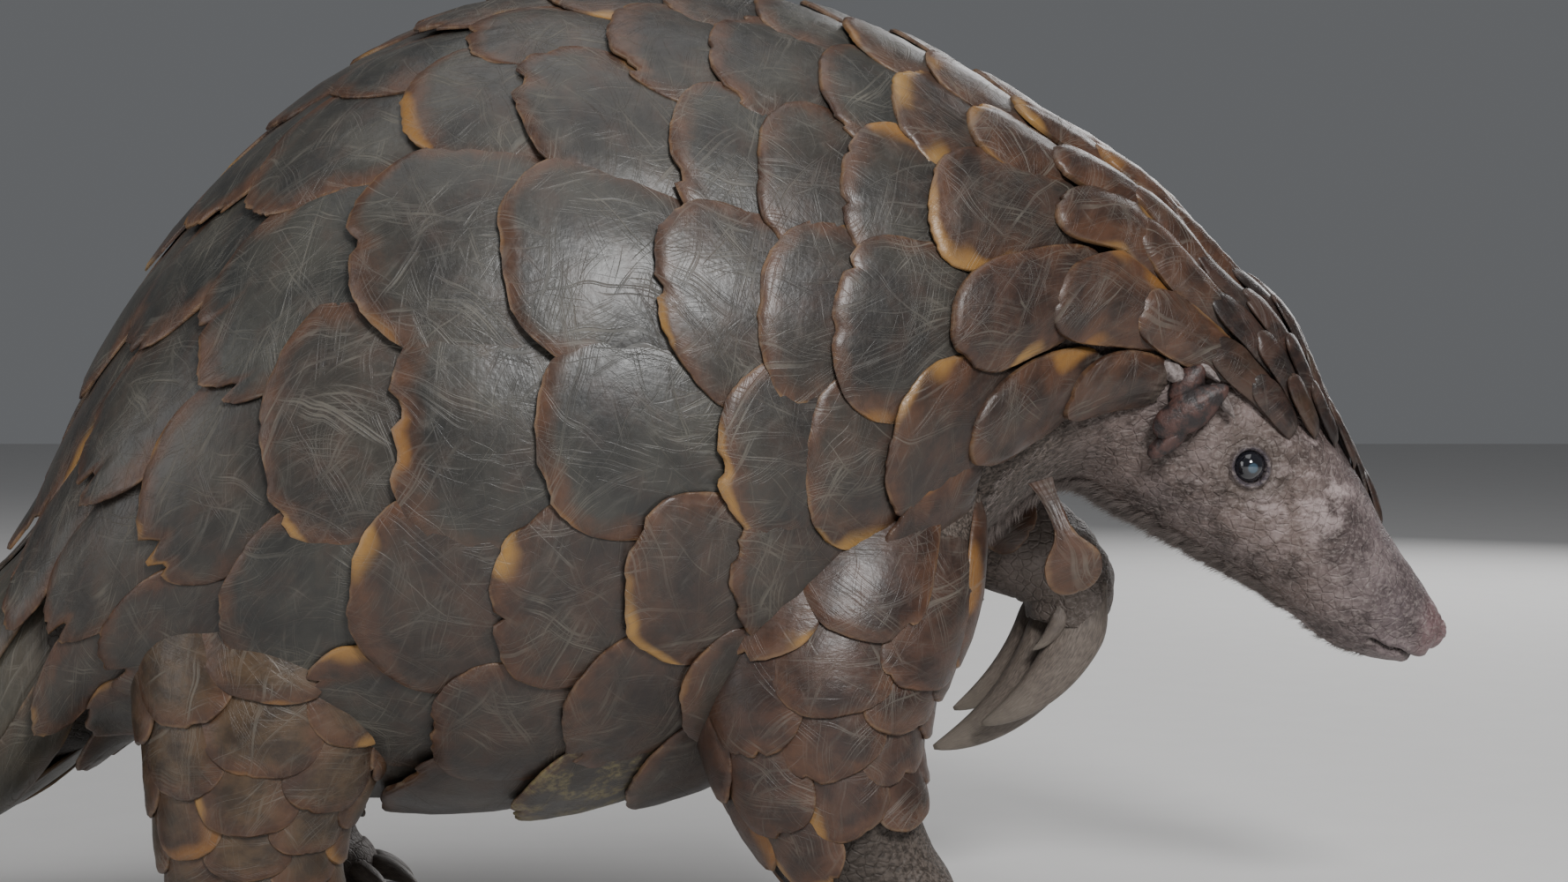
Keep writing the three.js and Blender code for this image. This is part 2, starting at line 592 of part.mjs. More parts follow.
// The slit of the mouth, under the nose pad and a little way back on both sides.
function mouthCut() {
  const sheet = new THREE.CylinderGeometry(MOUTH.radius, MOUTH.radius, MOUTH.slit, 12).rotateX(Math.PI / 2);
  return toManifold(sheet.rotateY(radians(MOUTH.slope)).translate(...MOUTH.at));
}
// A lip: a low bulge above or below the slit.
function lipSolid(rise) {
  const bulge = new THREE.SphereGeometry(1, 9, 5).rotateX(Math.PI / 2);
  bulge.scale(MOUTH.radius, MOUTH.radius * LIP.narrow, LIP.thick).translate(0, 0, rise);
  return toManifold(bulge.rotateY(radians(MOUTH.slope)).translate(...MOUTH.at));
}
function nostrilCut(side) {
  const hole = new THREE.SphereGeometry(NOSTRIL.radius, 8, 6).scale(NOSTRIL.stretch, 1, 1);
  hole.rotateY(radians(NOSTRIL.slope));
  return toManifold(hole.translate(NOSTRIL.at[0], side * NOSTRIL.at[1], NOSTRIL.at[2]));
}
// The ear: a cup of skin on the side of the head, hollow towards the front.
function earSolid(side, grow = 0) {
  const place = trunkPoint(EAR.section, side * EAR.angle, EAR.stand);
  const [deep, thick, tall] = EAR.halfSizes;
  const settle = (shape) => {
    shape.rotateY(radians(EAR.slope));
    return toManifold(shape.translate(place.x, place.y, place.z));
  };
  const cup = settle(new THREE.SphereGeometry(1, 9, 6).scale(deep + grow, thick + grow, tall + grow));
  if (grow) return cup;
  const hollow = new THREE.SphereGeometry(1, 8, 6).scale(deep - EAR.wall, thick, tall - EAR.wall);
  return cup.subtract(settle(hollow.translate(EAR_HOLLOW[0], side * EAR_HOLLOW[1], 0)));
}

// Putting the nodes together

const union = (solids) => wasm.Manifold.union(solids);
const largest = (solid) => solid.decompose().sort((a, b) => b.volume() - a.volume())[0];
const both = [["right", -1], ["left", 1]];

const limbs = [
  ["hind_leg", "hind_foot", "right", -1, HIND_LEG, HIND_COAT, "hind"],
  ["hind_leg", "hind_foot", "left", 1, HIND_LEG, HIND_COAT, "hind"],
  ["foreleg", "forefoot", "right", -1, FORE_LEG, FORE_COAT, "fore"],
  ["foreleg", "forefoot", "left", 1, RAISED_LEG, RAISED_COAT, "raised"],
].map(([name, foot, word, side, places, coat, joint]) => {
  const back = joint === "hind" && side > 0 ? LEFT_HIND_BACK : 0;
  return { name, foot, word, side, coat, joint, back, places: shiftBack(places, back) };
});

// The whole animal in one piece, without eyes, ears and claws. Everything under the floor is cut away, which
// leaves the small flats that it rests on.
const underFloor = toManifold(new THREE.BoxGeometry(...UNDERGROUND.size).translate(...UNDERGROUND.at));
const whole = union([
  trunkSolid(),
  scaleCoat(trunkScales(false), trunkByRing, coatByRing),
  scaleCoat(trunkScales(true), trunkByRing, tailCoatByRing, tailWrap),
  ...limbs.flatMap(({ places, side, coat }) => [limbSolid(places, side), limbCoat(places, side, coat)]),
  ...both.map(([, side]) => lidSolid(side)),
  lipSolid(LIP.rise),
  lipSolid(-LIP.rise),
]).subtract(
  union([
    ...both.flatMap(([, side]) => [eyeSolid(side, GAP), earSolid(side, GAP), nostrilCut(side)]),
    mouthCut(),
    underFloor,
  ]),
);

const animal = new THREE.Group();
function addNode(name, finish, solid) {
  const mesh = largest(solid).getMesh();
  const positions = new Float32Array(mesh.numVert * 3);
  for (let i = 0; i < mesh.numVert; i++)
    positions.set(mesh.vertProperties.subarray(i * mesh.numProp, i * mesh.numProp + 3), i * 3);
  const geometry = new THREE.BufferGeometry();
  geometry.setAttribute("position", new THREE.BufferAttribute(positions, 3));
  geometry.setIndex(new THREE.BufferAttribute(mesh.triVerts, 1));
  geometry.computeVertexNormals();
  const piece = new THREE.Mesh(geometry, new THREE.MeshStandardMaterial(FINISH[finish]));
  piece.name = name;
  animal.add(piece);
}

// A thin flat cut across the trunk at a place in its list of sections.
function trunkCut(section) {
  const axis = axisAt(section);
  const [ridgeX, ridgeZ, underX, underZ] = smoothRow(SECTIONS, section);
  const height = Math.hypot(ridgeX - underX, ridgeZ - underZ) + CUT_MARGIN;
  const sheet = new THREE.BoxGeometry(GAP, CUT_WIDTH, height).rotateY(Math.atan2(-axis.z, axis.x));
  return toManifold(sheet.translate((ridgeX + underX) / 2, 0, (ridgeZ + underZ) / 2));
}
const middleX = (solid) => (solid.boundingBox().min[0] + solid.boundingBox().max[0]) / 2;

// Head, neck, torso and the three lengths of tail, from front to back.
const TRUNK_NODES = [
  ["head", "face"],
  ["neck", "scales"],
  ["torso", "scales"],
  ["tail_base", "scales"],
  ["tail_middle", "scales"],
  ["tail_end", "scales"],
];
const trunk = whole.subtract(
  union([
    ...limbs.map(({ joint, side, back }) => jointBox(JOINTS[joint], side, back, GAP)),
    ...Object.values(CUTS).map(trunkCut),
  ]),
);
trunk
  .decompose()
  .sort((a, b) => b.volume() - a.volume())
  .slice(0, TRUNK_NODES.length)
  .sort((a, b) => middleX(b) - middleX(a))
  .forEach((solid, i) => addNode(...TRUNK_NODES[i], solid));

both.forEach(([word, side]) => {
  addNode(`eye_${word}`, "eye", eyeSolid(side));
  addNode(`ear_${word}`, "ear", earSolid(side));
});

// The limbs: each is what of the whole lies in its joint box, parted at the ankle or wrist.
limbs.forEach(({ name, foot, word, side, back, places, joint }) => {
  const cutFree = whole.intersect(jointBox(JOINTS[joint], side, back, 0));
  const [leg, sole] = cutFree
    .subtract(ankleCut(ANKLES[joint], side, back))
    .decompose()
    .sort((a, b) => b.volume() - a.volume());
  addNode(`${name}_${word}`, "scales", leg);
  addNode(`${foot}_${word}`, "foot", sole);
  const taken = union([limbSolid(places, side, places.length - GROWN_FOOT, GAP), underFloor]);
  const claws = joint === "hind" ? hindClaws(places, side) : foreClaws(KNUCKLES[joint], side);
  const clawName = `${foot.replace("foot", "claw")}_${word}`;
  claws.forEach(([digit, solid]) => addNode(`${clawName}_${digit}`, "claw", solid.subtract(taken)));
});

// The middle of the whole animal's box goes over the origin, with the soles at z = 0.
const box = new THREE.Box3().setFromObject(animal);
animal.position.set(-(box.min.x + box.max.x) / 2, -(box.min.y + box.max.y) / 2, 0);

export default animal;
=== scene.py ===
import math
import random

import bpy
import numpy as np
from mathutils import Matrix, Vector


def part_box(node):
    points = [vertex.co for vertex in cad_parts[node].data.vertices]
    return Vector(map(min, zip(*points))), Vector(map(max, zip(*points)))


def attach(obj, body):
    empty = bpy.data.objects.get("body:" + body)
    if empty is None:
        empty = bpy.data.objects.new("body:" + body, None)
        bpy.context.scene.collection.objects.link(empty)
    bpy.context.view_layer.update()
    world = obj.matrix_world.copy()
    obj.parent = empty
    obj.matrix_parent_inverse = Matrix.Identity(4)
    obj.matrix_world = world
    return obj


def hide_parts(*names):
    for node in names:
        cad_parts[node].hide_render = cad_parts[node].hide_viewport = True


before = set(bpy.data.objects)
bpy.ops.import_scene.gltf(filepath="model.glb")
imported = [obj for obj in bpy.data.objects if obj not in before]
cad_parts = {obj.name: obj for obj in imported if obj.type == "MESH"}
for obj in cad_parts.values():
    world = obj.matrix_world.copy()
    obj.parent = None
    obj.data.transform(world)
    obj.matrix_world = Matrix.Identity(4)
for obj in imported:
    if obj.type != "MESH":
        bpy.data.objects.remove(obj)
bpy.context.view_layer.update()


# Camera
# A plain view from the animal's right, a little above its middle. It is framed close: the head and the
# raised foot fill the right of the picture, and the tail runs out of it on the left.
CAMERA_AT = (0.2241, -0.741, 0.165)
CAMERA_TURN = (math.radians(88.07), 0, 0)
LENS_MM, FILM_MM = 60, 36
bpy.ops.object.camera_add(location=CAMERA_AT, rotation=CAMERA_TURN)
camera = bpy.context.object
camera.data.lens = LENS_MM
camera.data.sensor_width = FILM_MM
bpy.context.scene.camera = camera


# Studio light
# Four square softboxes in a pale grey room: a small bright one beside the camera that models the scales,
# a broad one overhead, a weak one low at the tail's end that opens the shadows, and one behind that rims
# the back.
LAMPS = [  # name, place, what it is aimed at, size, watts
    ("key_light", (0.52, -0.95, 0.72), (0.2, 0, 0.13), 0.3, 12.5),
    ("top_light", (0.1, -0.1, 1.5), (0.15, 0, 0.1), 1.3, 8),
    ("side_light", (-1.1, -0.7, 0.5), (0.1, 0, 0.1), 0.8, 5),
    ("back_light", (0.9, 1.2, 0.7), (0.2, 0, 0.12), 0.8, 9),
]
ROOM_GREY, ROOM_STRENGTH = (0.62, 0.64, 0.67, 1), 0.2
for lamp_name, lamp_at, aim_at, lamp_size, watts in LAMPS:
    bpy.ops.object.light_add(type="AREA", location=lamp_at)
    lamp = bpy.context.object
    lamp.name = lamp_name
    lamp.data.size = lamp_size
    lamp.data.energy = watts
    lamp.rotation_euler = (Vector(aim_at) - lamp.location).to_track_quat("-Z", "Y").to_euler()
room = bpy.data.worlds.new("pale_room")
room.use_nodes = True
background = room.node_tree.nodes["Background"]
background.inputs["Color"].default_value = ROOM_GREY
background.inputs["Strength"].default_value = ROOM_STRENGTH
bpy.context.scene.world = room


# Floor
# A plain pale studio floor under the feet, matt and very slightly uneven in tone. It isn't part of the
# model.
FLOOR_SIZE = 8
FLOOR_DARK, FLOOR_PALE = (0.66, 0.65, 0.64), (0.7, 0.69, 0.68)


class Blend:
    """A value, colour or direction in a material. Sums with it add the nodes that work them out."""

    def __init__(self, tree, socket=None):
        self.tree = tree
        self.socket = socket

    def node(self, kind, inputs=(), out=0, **settings):
        made = self.tree.nodes.new(kind)
        for name, value in settings.items():
            setattr(made, name, value)
        for name, value in dict(inputs).items():
            if isinstance(value, Blend):
                self.tree.links.new(value.socket, made.inputs[name])
            else:
                made.inputs[name].default_value = value
        return Blend(self.tree, made.outputs[out])

    def maths(self, operation, *values):
        return self.node("ShaderNodeMath", enumerate(values), operation=operation)

    def __add__(self, other):
        return self.maths("ADD", self, other)

    def __sub__(self, other):
        return self.maths("SUBTRACT", self, other)

    def __rsub__(self, other):
        return self.maths("SUBTRACT", other, self)

    def __mul__(self, other):
        return self.maths("MULTIPLY", self, other)

    def __truediv__(self, other):
        return self.maths("DIVIDE", self, other)

    def __abs__(self):
        return self.maths("ABSOLUTE", self)

    __radd__ = __add__
    __rmul__ = __mul__

    def ease(self, low, high):
        """Goes smoothly from 0 to 1 as the value goes from low to high."""
        ends = {"Value": self, "From Min": low, "From Max": high}
        return self.node("ShaderNodeMapRange", ends, interpolation_type="SMOOTHSTEP")

    def tint(self, from_colour, to_colour):
        """From one colour to the other as the value goes from 0 to 1."""
        ends = [(*end, 1) if isinstance(end, tuple) else end for end in (from_colour, to_colour)]
        return self.node("ShaderNodeMix", {"Factor": self, 6: ends[0], 7: ends[1]}, out=2, data_type="RGBA")

    def measure(self, name):
        """A number that the mesh carries under this name."""
        return self.node("ShaderNodeAttribute", out=2, attribute_name=name)

    def place(self):
        """The place on the finished piece, in metres."""
        return self.node("ShaderNodeTexCoord", out=3)

    def spots(self, at, scale, detail=3.0, rough=0.5, squeeze=(1, 1, 1), turn=0.0):
        """Soft noise, which may be stretched and turned."""
        if turn:
            at = at.node("ShaderNodeVectorRotate", {0: at, "Angle": turn}, rotation_type="Z_AXIS")
        if squeeze != (1, 1, 1):
            at = at.node("ShaderNodeMapping", {0: at, "Scale": squeeze})
        knobs = {"Vector": at, "Scale": scale, "Detail": detail, "Roughness": rough}
        return self.node("ShaderNodeTexNoise", knobs)

    def cells(self, at, scale, feature):
        """Cells like pebbled skin."""
        return self.node("ShaderNodeTexVoronoi", {"Vector": at, "Scale": scale}, feature=feature)

    def relief(self, height, depth, strength):
        """The tilt of the surface from a height that runs from 0 to 1, depth metres deep."""
        return self.node("ShaderNodeBump", {"Strength": strength, "Distance": depth, "Height": height})


def new_finish(name, **constants):
    """A material, the start of its nodes, and a way to link values to its shader."""
    finish = bpy.data.materials.new(name)
    finish.use_nodes = True
    tree = finish.node_tree
    shader = tree.nodes["Principled BSDF"]
    for socket, value in constants.items():
        shader.inputs[socket.replace("_", " ")].default_value = value

    def feed(**values):
        for socket, value in values.items():
            tree.links.new(value.socket, shader.inputs[socket.replace("_", " ")])

    return finish, Blend(tree), feed


bpy.ops.object.select_all(action="DESELECT")
bpy.ops.mesh.primitive_plane_add(size=FLOOR_SIZE)
floor = bpy.context.object
floor.name = "studio_floor"
pale_floor, start, feed = new_finish("pale_floor", Roughness=0.85)
feed(Base_Color=start.spots(start.place(), 40).tint(FLOOR_DARK, FLOOR_PALE))
floor.data.materials.append(pale_floor)


# Skin
# The hide over the whole animal, soft and wrinkled where it is bare, on face, throat and feet, and thin and
# dark under the scales. The trunk is one tube of it, from the nose to the tip of the tail, and the legs are
# tubes sewn to that one.

# Sections of the trunk: the ridge's x and z, the belly's x and z, half the breadth, how square the lower
# half is, and how far the sides sag.
SECTIONS = np.array([
    [246, 90, 243, 81, 5.5, 1, 0],
    [244.5, 94, 239, 78.5, 8.6, 1, 0],
    [240, 101, 231, 78, 11, 1, 0],
    [235, 108, 221, 80, 14, 1, 0.02],
    [229, 117, 211, 85, 16.8, 1, 0.04],
    [222, 132, 196, 97, 20.5, 0.96, 0.05],
    [211, 152, 177, 108, 25.5, 0.95, 0.05],
    [199, 176, 155, 120, 30.5, 0.95, 0.05],
    [180, 191, 138, 128, 36, 0.95, 0.04],
    [159, 211, 121, 118, 45, 0.95, 0.03],
    [130, 229, 102, 98, 59.5, 0.95, 0.04],
    [96, 247, 78, 72, 73, 0.93, 0.07],
    [57, 259, 48, 52, 84, 0.92, 0.1],
    [17, 263, 14, 44, 91, 0.9, 0.12],
    [-22, 258, -19, 42, 93, 0.9, 0.12],
    [-57, 242, -50, 45, 90, 0.9, 0.12],
    [-87, 217, -76, 50, 84, 0.9, 0.1],
    [-111, 187, -101, 57, 74, 0.88, 0.08],
    [-128, 155, -121, 62, 63, 0.84, 0.08],
    [-142, 124, -138, 54, 56, 0.8, 0.1],
    [-163, 99, -158, 41, 52.5, 0.75, 0.14],
    [-200, 78, -196, 23, 50, 0.7, 0.18],
    [-245, 59, -243, 9.5, 48, 0.68, 0.2],
    [-296, 46, -295, 4.2, 45.5, 0.66, 0.2],
    [-352, 39.5, -352, 3.4, 42, 0.66, 0.2],
    [-410, 34.5, -410, 3.4, 37, 0.66, 0.2],
    [-466, 29.5, -466, 3.4, 31, 0.66, 0.2],
    [-516, 24, -516, 3.6, 24, 0.68, 0.18],
    [-552, 18, -552, 4, 16, 0.75, 0.12],
    [-572, 12, -572, 5, 7, 1, 0],
])
LAST = len(SECTIONS) - 1
ROUND_ABOVE = 0.97  # how square the upper half of each section is
SWAY, SWAY_FROM = 26.0, -150.0  # how far the tip of the tail lies to the left, and where along x it begins
NUDGE = 0.02
EYE_SECTION, EYE_ANGLE, EYE_RADIUS, EYE_SUNK = 6.32, 94.0, 4.9, 2.6


def smooth_row(rows, at):
    """A smooth curve through rows of numbers, at fractional rows."""
    at = np.asarray(at, float)
    last = len(rows) - 1
    i = np.clip(np.floor(at).astype(int), 0, last - 1)
    t = (at - i)[..., None]
    a, b, c, d = (rows[np.clip(i + k, 0, last)] for k in (-1, 0, 1, 2))
    far = 2 * a - 5 * b + 4 * c - d
    bow = 3 * b - a - 3 * c + d
    return b + 0.5 * t * ((c - a) + t * (far + t * bow))


def bare_point(section, angle):
    """Points of the trunk, in millimetres. The angle is 0 on the ridge, 180 below, positive on the left."""
    ridge_x, ridge_z, under_x, under_z, half, square, sag = np.moveaxis(smooth_row(SECTIONS, section), -1, 0)
    turn = np.radians(angle)
    c, s = np.cos(turn), np.sin(turn)
    power = np.where(c < 0, square, ROUND_ABOVE)
    up = np.sign(c) * np.abs(c) ** power
    out = np.sign(s) * np.abs(s) ** power * half * (1 - sag * c)
    middle_x, middle_z = (ridge_x + under_x) / 2, (ridge_z + under_z) / 2
    back = np.maximum(0, SWAY_FROM - middle_x) / (SWAY_FROM - SECTIONS[LAST][0])
    return np.stack([
        middle_x + up * (ridge_x - under_x) / 2,
        out + SWAY * back * back,
        middle_z + up * (ridge_z - under_z) / 2,
    ], -1)


def one_long(ways):
    """The same directions, each of length 1."""
    return ways / np.linalg.norm(ways, axis=-1, keepdims=True)


def trunk_point(section, angle, lift=0.0):
    """Points of the trunk, raised off its skin by lift."""
    section = np.clip(section, NUDGE, LAST - NUDGE)
    along = bare_point(section + NUDGE, angle) - bare_point(section - NUDGE, angle)
    around = bare_point(section, angle + 1.0) - bare_point(section, angle - 1.0)
    out = one_long(np.cross(around, along))
    return bare_point(section, angle) + out * np.asarray(lift, float)[..., None]


FINE_STEP = 0.05
fine_sections = np.arange(0, LAST + FINE_STEP / 2, FINE_STEP)
middles = (SECTIONS[:, 0:2] + SECTIONS[:, 2:4]) / 2
steps = np.linalg.norm(np.diff(smooth_row(middles, fine_sections), axis=0), axis=1)
fine_distances = np.concatenate([[0], np.cumsum(steps)])
trunk_length = fine_distances[-1]


def section_at(distance):
    """The section, which may be a fraction, at a distance from the nose along the body."""
    return np.interp(distance, fine_distances, fine_sections)


# How the scales are spread, as [distance from the nose, value]: from ring to ring, the angle from row to
# row, and how high the free edge stands. The skin lies lower where scales grow.
PITCH = np.array([[30, 13.5], [85, 15], [112, 19], [135, 23], [160, 25], [188, 27], [223, 34], [260, 42],
                  [330, 43], [386, 40], [434, 39], [602, 41], [717, 38], [800, 32], [879, 24]], float).T
STEP = np.array([[30, 13], [94, 17.5], [115, 23], [135, 28], [160, 28.5], [188, 27.5], [223, 26], [260, 25],
                 [370, 25], [409, 28], [434, 32], [461, 36], [879, 36]], float).T
COAT = np.array([[30, 1.3], [60, 2], [110, 2.8], [160, 3.8], [223, 4.6], [330, 4.6], [434, 4], [717, 3.4],
                 [879, 2]], float).T
ROWS_FROM = [(0, 4), (146, 5), (196, 6), (380, 5)]  # the outermost row from each distance on
CROWN_FRONT, CROWN_BACKSET = 34.0, 9.5
TAIL_FROM = 445.0
BED_SHARE, BED_FADE = 0.62, 14.0  # how deep in the coat the skin lies, and over what angle it rises again


def outermost_row(distance):
    return [rows for start_at, rows in ROWS_FROM if distance >= start_at][-1]


def bed_depth(section, angle):
    """How far the skin lies below its bare level."""
    distance = np.interp(section, fine_sections, fine_distances)
    depth = BED_SHARE * np.interp(distance, *COAT)
    outermost = np.array([outermost_row(d) for d in distance.ravel()]).reshape(distance.shape)
    rows = np.minimum(outermost, (distance - CROWN_FRONT) / CROWN_BACKSET)
    edge = (rows + 0.5) * np.interp(distance, *STEP)
    share = np.clip((edge - np.abs(angle)) / BED_FADE, 0, 1)
    return np.where(distance > TAIL_FROM, depth, depth * share)


# Where the drawing's millimetres lie in the model's frame.
eye_low, eye_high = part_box("eye_right")
eye_drawn = trunk_point(np.array([EYE_SECTION]), np.array([-EYE_ANGLE]), np.array([-EYE_SUNK]))[0]
SHIFT = np.array((eye_low + eye_high) / 2) * 1000 - eye_drawn
SHIFT[2] = 0.0


def placed(points):
    """Millimetres of the drawing as metres in the model's frame."""
    return (points + SHIFT) / 1000.0


def add_grid(name, columns, rows):
    """A flat grid with this many faces each way, at the origin, its corners at plus and minus 1."""
    bpy.ops.object.select_all(action="DESELECT")
    bpy.ops.mesh.primitive_grid_add(x_subdivisions=columns, y_subdivisions=rows, size=2)
    grid = bpy.context.object
    grid.name = name
    return grid


def corners_of(piece):
    corners = np.empty(len(piece.data.vertices) * 3)
    piece.data.vertices.foreach_get("co", corners)
    return corners.reshape(-1, 3)


def grid_line(places, count):
    """Which line of a grid each corner is on, from 0 to count."""
    return np.rint((places + 1) / 2 * count).astype(int)


def move_corners(piece, points):
    piece.data.vertices.foreach_set("co", np.ascontiguousarray(points, float).ravel())
    piece.data.update()


def close_tube(piece):
    """Joins the seam and the poles of a rolled grid and turns its faces outwards."""
    bpy.ops.object.mode_set(mode="EDIT")
    bpy.ops.mesh.select_all(action="SELECT")
    bpy.ops.mesh.remove_doubles(threshold=1e-6)
    bpy.ops.mesh.dissolve_degenerate(threshold=1e-7)
    bpy.ops.mesh.normals_make_consistent(inside=False)
    bpy.ops.object.mode_set(mode="OBJECT")


def apply_modifier(piece, kind, **settings):
    bpy.context.view_layer.objects.active = piece
    bpy.ops.object.modifier_add(type=kind)
    step = piece.modifiers[-1]
    for name, value in settings.items():
        setattr(step, name, value)
    bpy.ops.object.modifier_apply(modifier=step.name)


def pick(*pieces):
    """Selects these pieces and nothing else, with the first one active."""
    bpy.ops.object.select_all(action="DESELECT")
    for piece in pieces:
        piece.select_set(True)
    bpy.context.view_layer.objects.active = pieces[0]


def ease(value, low, high):
    """Goes smoothly from 0 to 1 as the value goes from low to high."""
    t = np.clip((value - low) / (high - low), 0, 1)
    return t * t * (3 - 2 * t)


CAP = [1.0, 0.9, 0.72, 0.5, 0.26]  # how far ahead each ring of the nose's rounded end lies
NOSE_CAP, TAIL_CAP = 2.4, 4.0
FACE_END, FACE_RING_GAP, BODY_RINGS, COLUMNS = 126, 0.8, 120, 160
near_rings = np.arange(0, FACE_END, FACE_RING_GAP)
far_rings = np.linspace(FACE_END, trunk_length, BODY_RINGS)
ring_sections = section_at(np.concatenate([near_rings, far_rings]))
last_ring = len(CAP) + len(ring_sections)
skin = add_grid("skin", last_ring, COLUMNS)
flat = corners_of(skin)
ring = grid_line(flat[:, 0], last_ring)
angles = flat[:, 1] * 180.0
sections = np.concatenate([[0] * len(CAP), ring_sections, [LAST]])[ring]
points = trunk_point(sections, angles, -bed_depth(sections, angles))
mid = (trunk_point(sections, np.zeros_like(angles)) + trunk_point(sections, np.full_like(angles, 180.0))) / 2
ahead = np.concatenate([CAP, [0.0] * (len(ring_sections) + 1)])[ring]
shrink = np.sqrt(np.maximum(0, 1 - ahead * ahead))
shrink[ring == last_ring] = 0
lean = one_long(np.array([SECTIONS[0][3] - SECTIONS[0][1], 0, SECTIONS[0][0] - SECTIONS[0][2]]))
points = mid + (points - mid) * shrink[:, None] - lean * (ahead * NOSE_CAP)[:, None]
points[ring == last_ring, 0] -= TAIL_CAP
move_corners(skin, placed(points))
close_tube(skin)

# Legs: each place along one is x, distance from the middle plane, z, half the depth fore and aft, and half
# the breadth.
HIND_LEG = np.array([
    [-70, 48, 124, 38, 22], [-72, 56, 92, 37, 25], [-76, 60, 66, 29.5, 23], [-79, 61, 45, 22.5, 20],
    [-79, 61, 30, 19, 17.5], [-78, 61, 19, 18.5, 17.5], [-77, 61, 11, 21, 18.5], [-75, 61, 4, 23.5, 20],
    [-75, 61, 0, 22.5, 19],
])
FORE_LEG = np.array([
    [84, 42, 136, 30, 18], [76, 52, 108, 33, 22], [68, 58, 82, 30, 21.5], [69, 59.5, 60, 25, 19.5],
    [76, 59, 42, 20, 17], [85, 58, 28, 16, 15], [92, 58, 19.5, 14.5, 15], [98, 58, 12.5, 11.5, 14],
])
RAISED_LEG = np.array([
    [88, 44, 131, 25, 18], [104, 48, 122, 22.5, 19], [120, 49, 114, 19.5, 18], [133, 48, 107, 17, 16],
    [141, 47, 101, 15.5, 15], [145, 46, 93, 14.5, 15], [144, 45, 84, 11, 13],
])
LEFT_HIND_BACK = 14.0


def limb_point(places, side, along, angle, lift=0.0):
    """Points of a leg, in millimetres. The angle is 0 on the outer side and 90 in front."""
    last = len(places) - 1
    x, out, z, depth, breadth = np.moveaxis(smooth_row(places, np.clip(along, 0, last)), -1, 0)
    before = smooth_row(places, np.clip(along - 0.1, 0, last))
    after = smooth_row(places, np.clip(along + 0.1, 0, last))
    down_x, down_z = after[..., 0] - before[..., 0], after[..., 2] - before[..., 2]
    length = np.hypot(down_x, down_z)
    down_x, down_z = down_x / length, down_z / length
    c, s = np.cos(np.radians(angle)), np.sin(np.radians(angle))
    reach = (depth + lift) * s
    return np.stack([x - down_z * reach, side * (out + (breadth + lift) * c), z + down_x * reach], -1)


LEGS = {
    "hind_right": (HIND_LEG, -1),
    "hind_left": (HIND_LEG - np.array([LEFT_HIND_BACK, 0, 0, 0, 0]), 1),
    "fore_right": (FORE_LEG, -1),
    "fore_left": (RAISED_LEG, 1),
}
LEG_RINGS, LEG_COLUMNS = 70, 72
for leg_name, (places, side) in LEGS.items():
    leg = add_grid("leg_" + leg_name, LEG_RINGS, LEG_COLUMNS)
    flat = corners_of(leg)
    ring = grid_line(flat[:, 0], LEG_RINGS)
    along = np.clip((ring - 1) / (LEG_RINGS - 2), 0, 1) * (len(places) - 1)
    points = limb_point(places, side, along, flat[:, 1] * 180.0)
    ends = (ring == 0) | (ring == LEG_RINGS)
    x, out, z = np.moveaxis(smooth_row(places, along)[:, :3], -1, 0)
    points[ends] = np.stack([x, side * out, z], -1)[ends]
    move_corners(leg, placed(points))
    close_tube(leg)
    apply_modifier(skin, "BOOLEAN", operation="UNION", object=leg, solver="MANIFOLD")
    bpy.data.objects.remove(leg)


def eye_places(lift):
    """The right eye's place and the left one's, raised off the head by lift."""
    return placed(trunk_point(np.full(2, EYE_SECTION), np.array([-EYE_ANGLE, EYE_ANGLE]), np.full(2, lift)))


# The mesh is made finer round the eyes and the mouth, which are then pressed into it.
eye_spots = eye_places(0.0)
eye_centres = eye_places(-EYE_SUNK)
MOUTH_AT, NOSE_AT = placed(np.array([235.0, 0, 80])), placed(np.array([247.0, 0, 86]))
FINER_ROUND_EYES, FINEST_ROUND_EYES, FINER_ROUND_MOUTH = 0.0155, 0.0125, 0.0165
bpy.context.tool_settings.mesh_select_mode = (False, False, True)
for round_eyes, round_mouth in ((FINER_ROUND_EYES, FINER_ROUND_MOUTH), (FINEST_ROUND_EYES, 0.0)):
    spots = corners_of(skin)
    near = np.min([np.linalg.norm(spots - spot, axis=1) for spot in eye_spots], axis=0) < round_eyes
    near |= np.linalg.norm(spots - MOUTH_AT, axis=1) < round_mouth
    pick(skin)
    skin.data.vertices.foreach_set("select", np.zeros(len(spots), bool))
    skin.data.edges.foreach_set("select", np.zeros(len(skin.data.edges), bool))
    chosen = np.array([all(near[v] for v in face.vertices) for face in skin.data.polygons])
    skin.data.polygons.foreach_set("select", chosen)
    bpy.ops.object.mode_set(mode="EDIT")
    bpy.ops.mesh.subdivide(number_cuts=1, quadcorner="INNERVERT")
    bpy.ops.object.mode_set(mode="OBJECT")

spots = corners_of(skin)
normals = np.empty(len(spots) * 3)
skin.data.vertices.foreach_get("normal", normals)
normals = normals.reshape(-1, 3)


def hump(distance, middle, width):
    return np.exp(-((distance - middle) / width) ** 2)


def split(offsets, way):
    """How far each offset goes along a direction of length 1, and how far off it."""
    along = offsets @ way
    return along, np.linalg.norm(offsets - along[:, None] * way, axis=1)


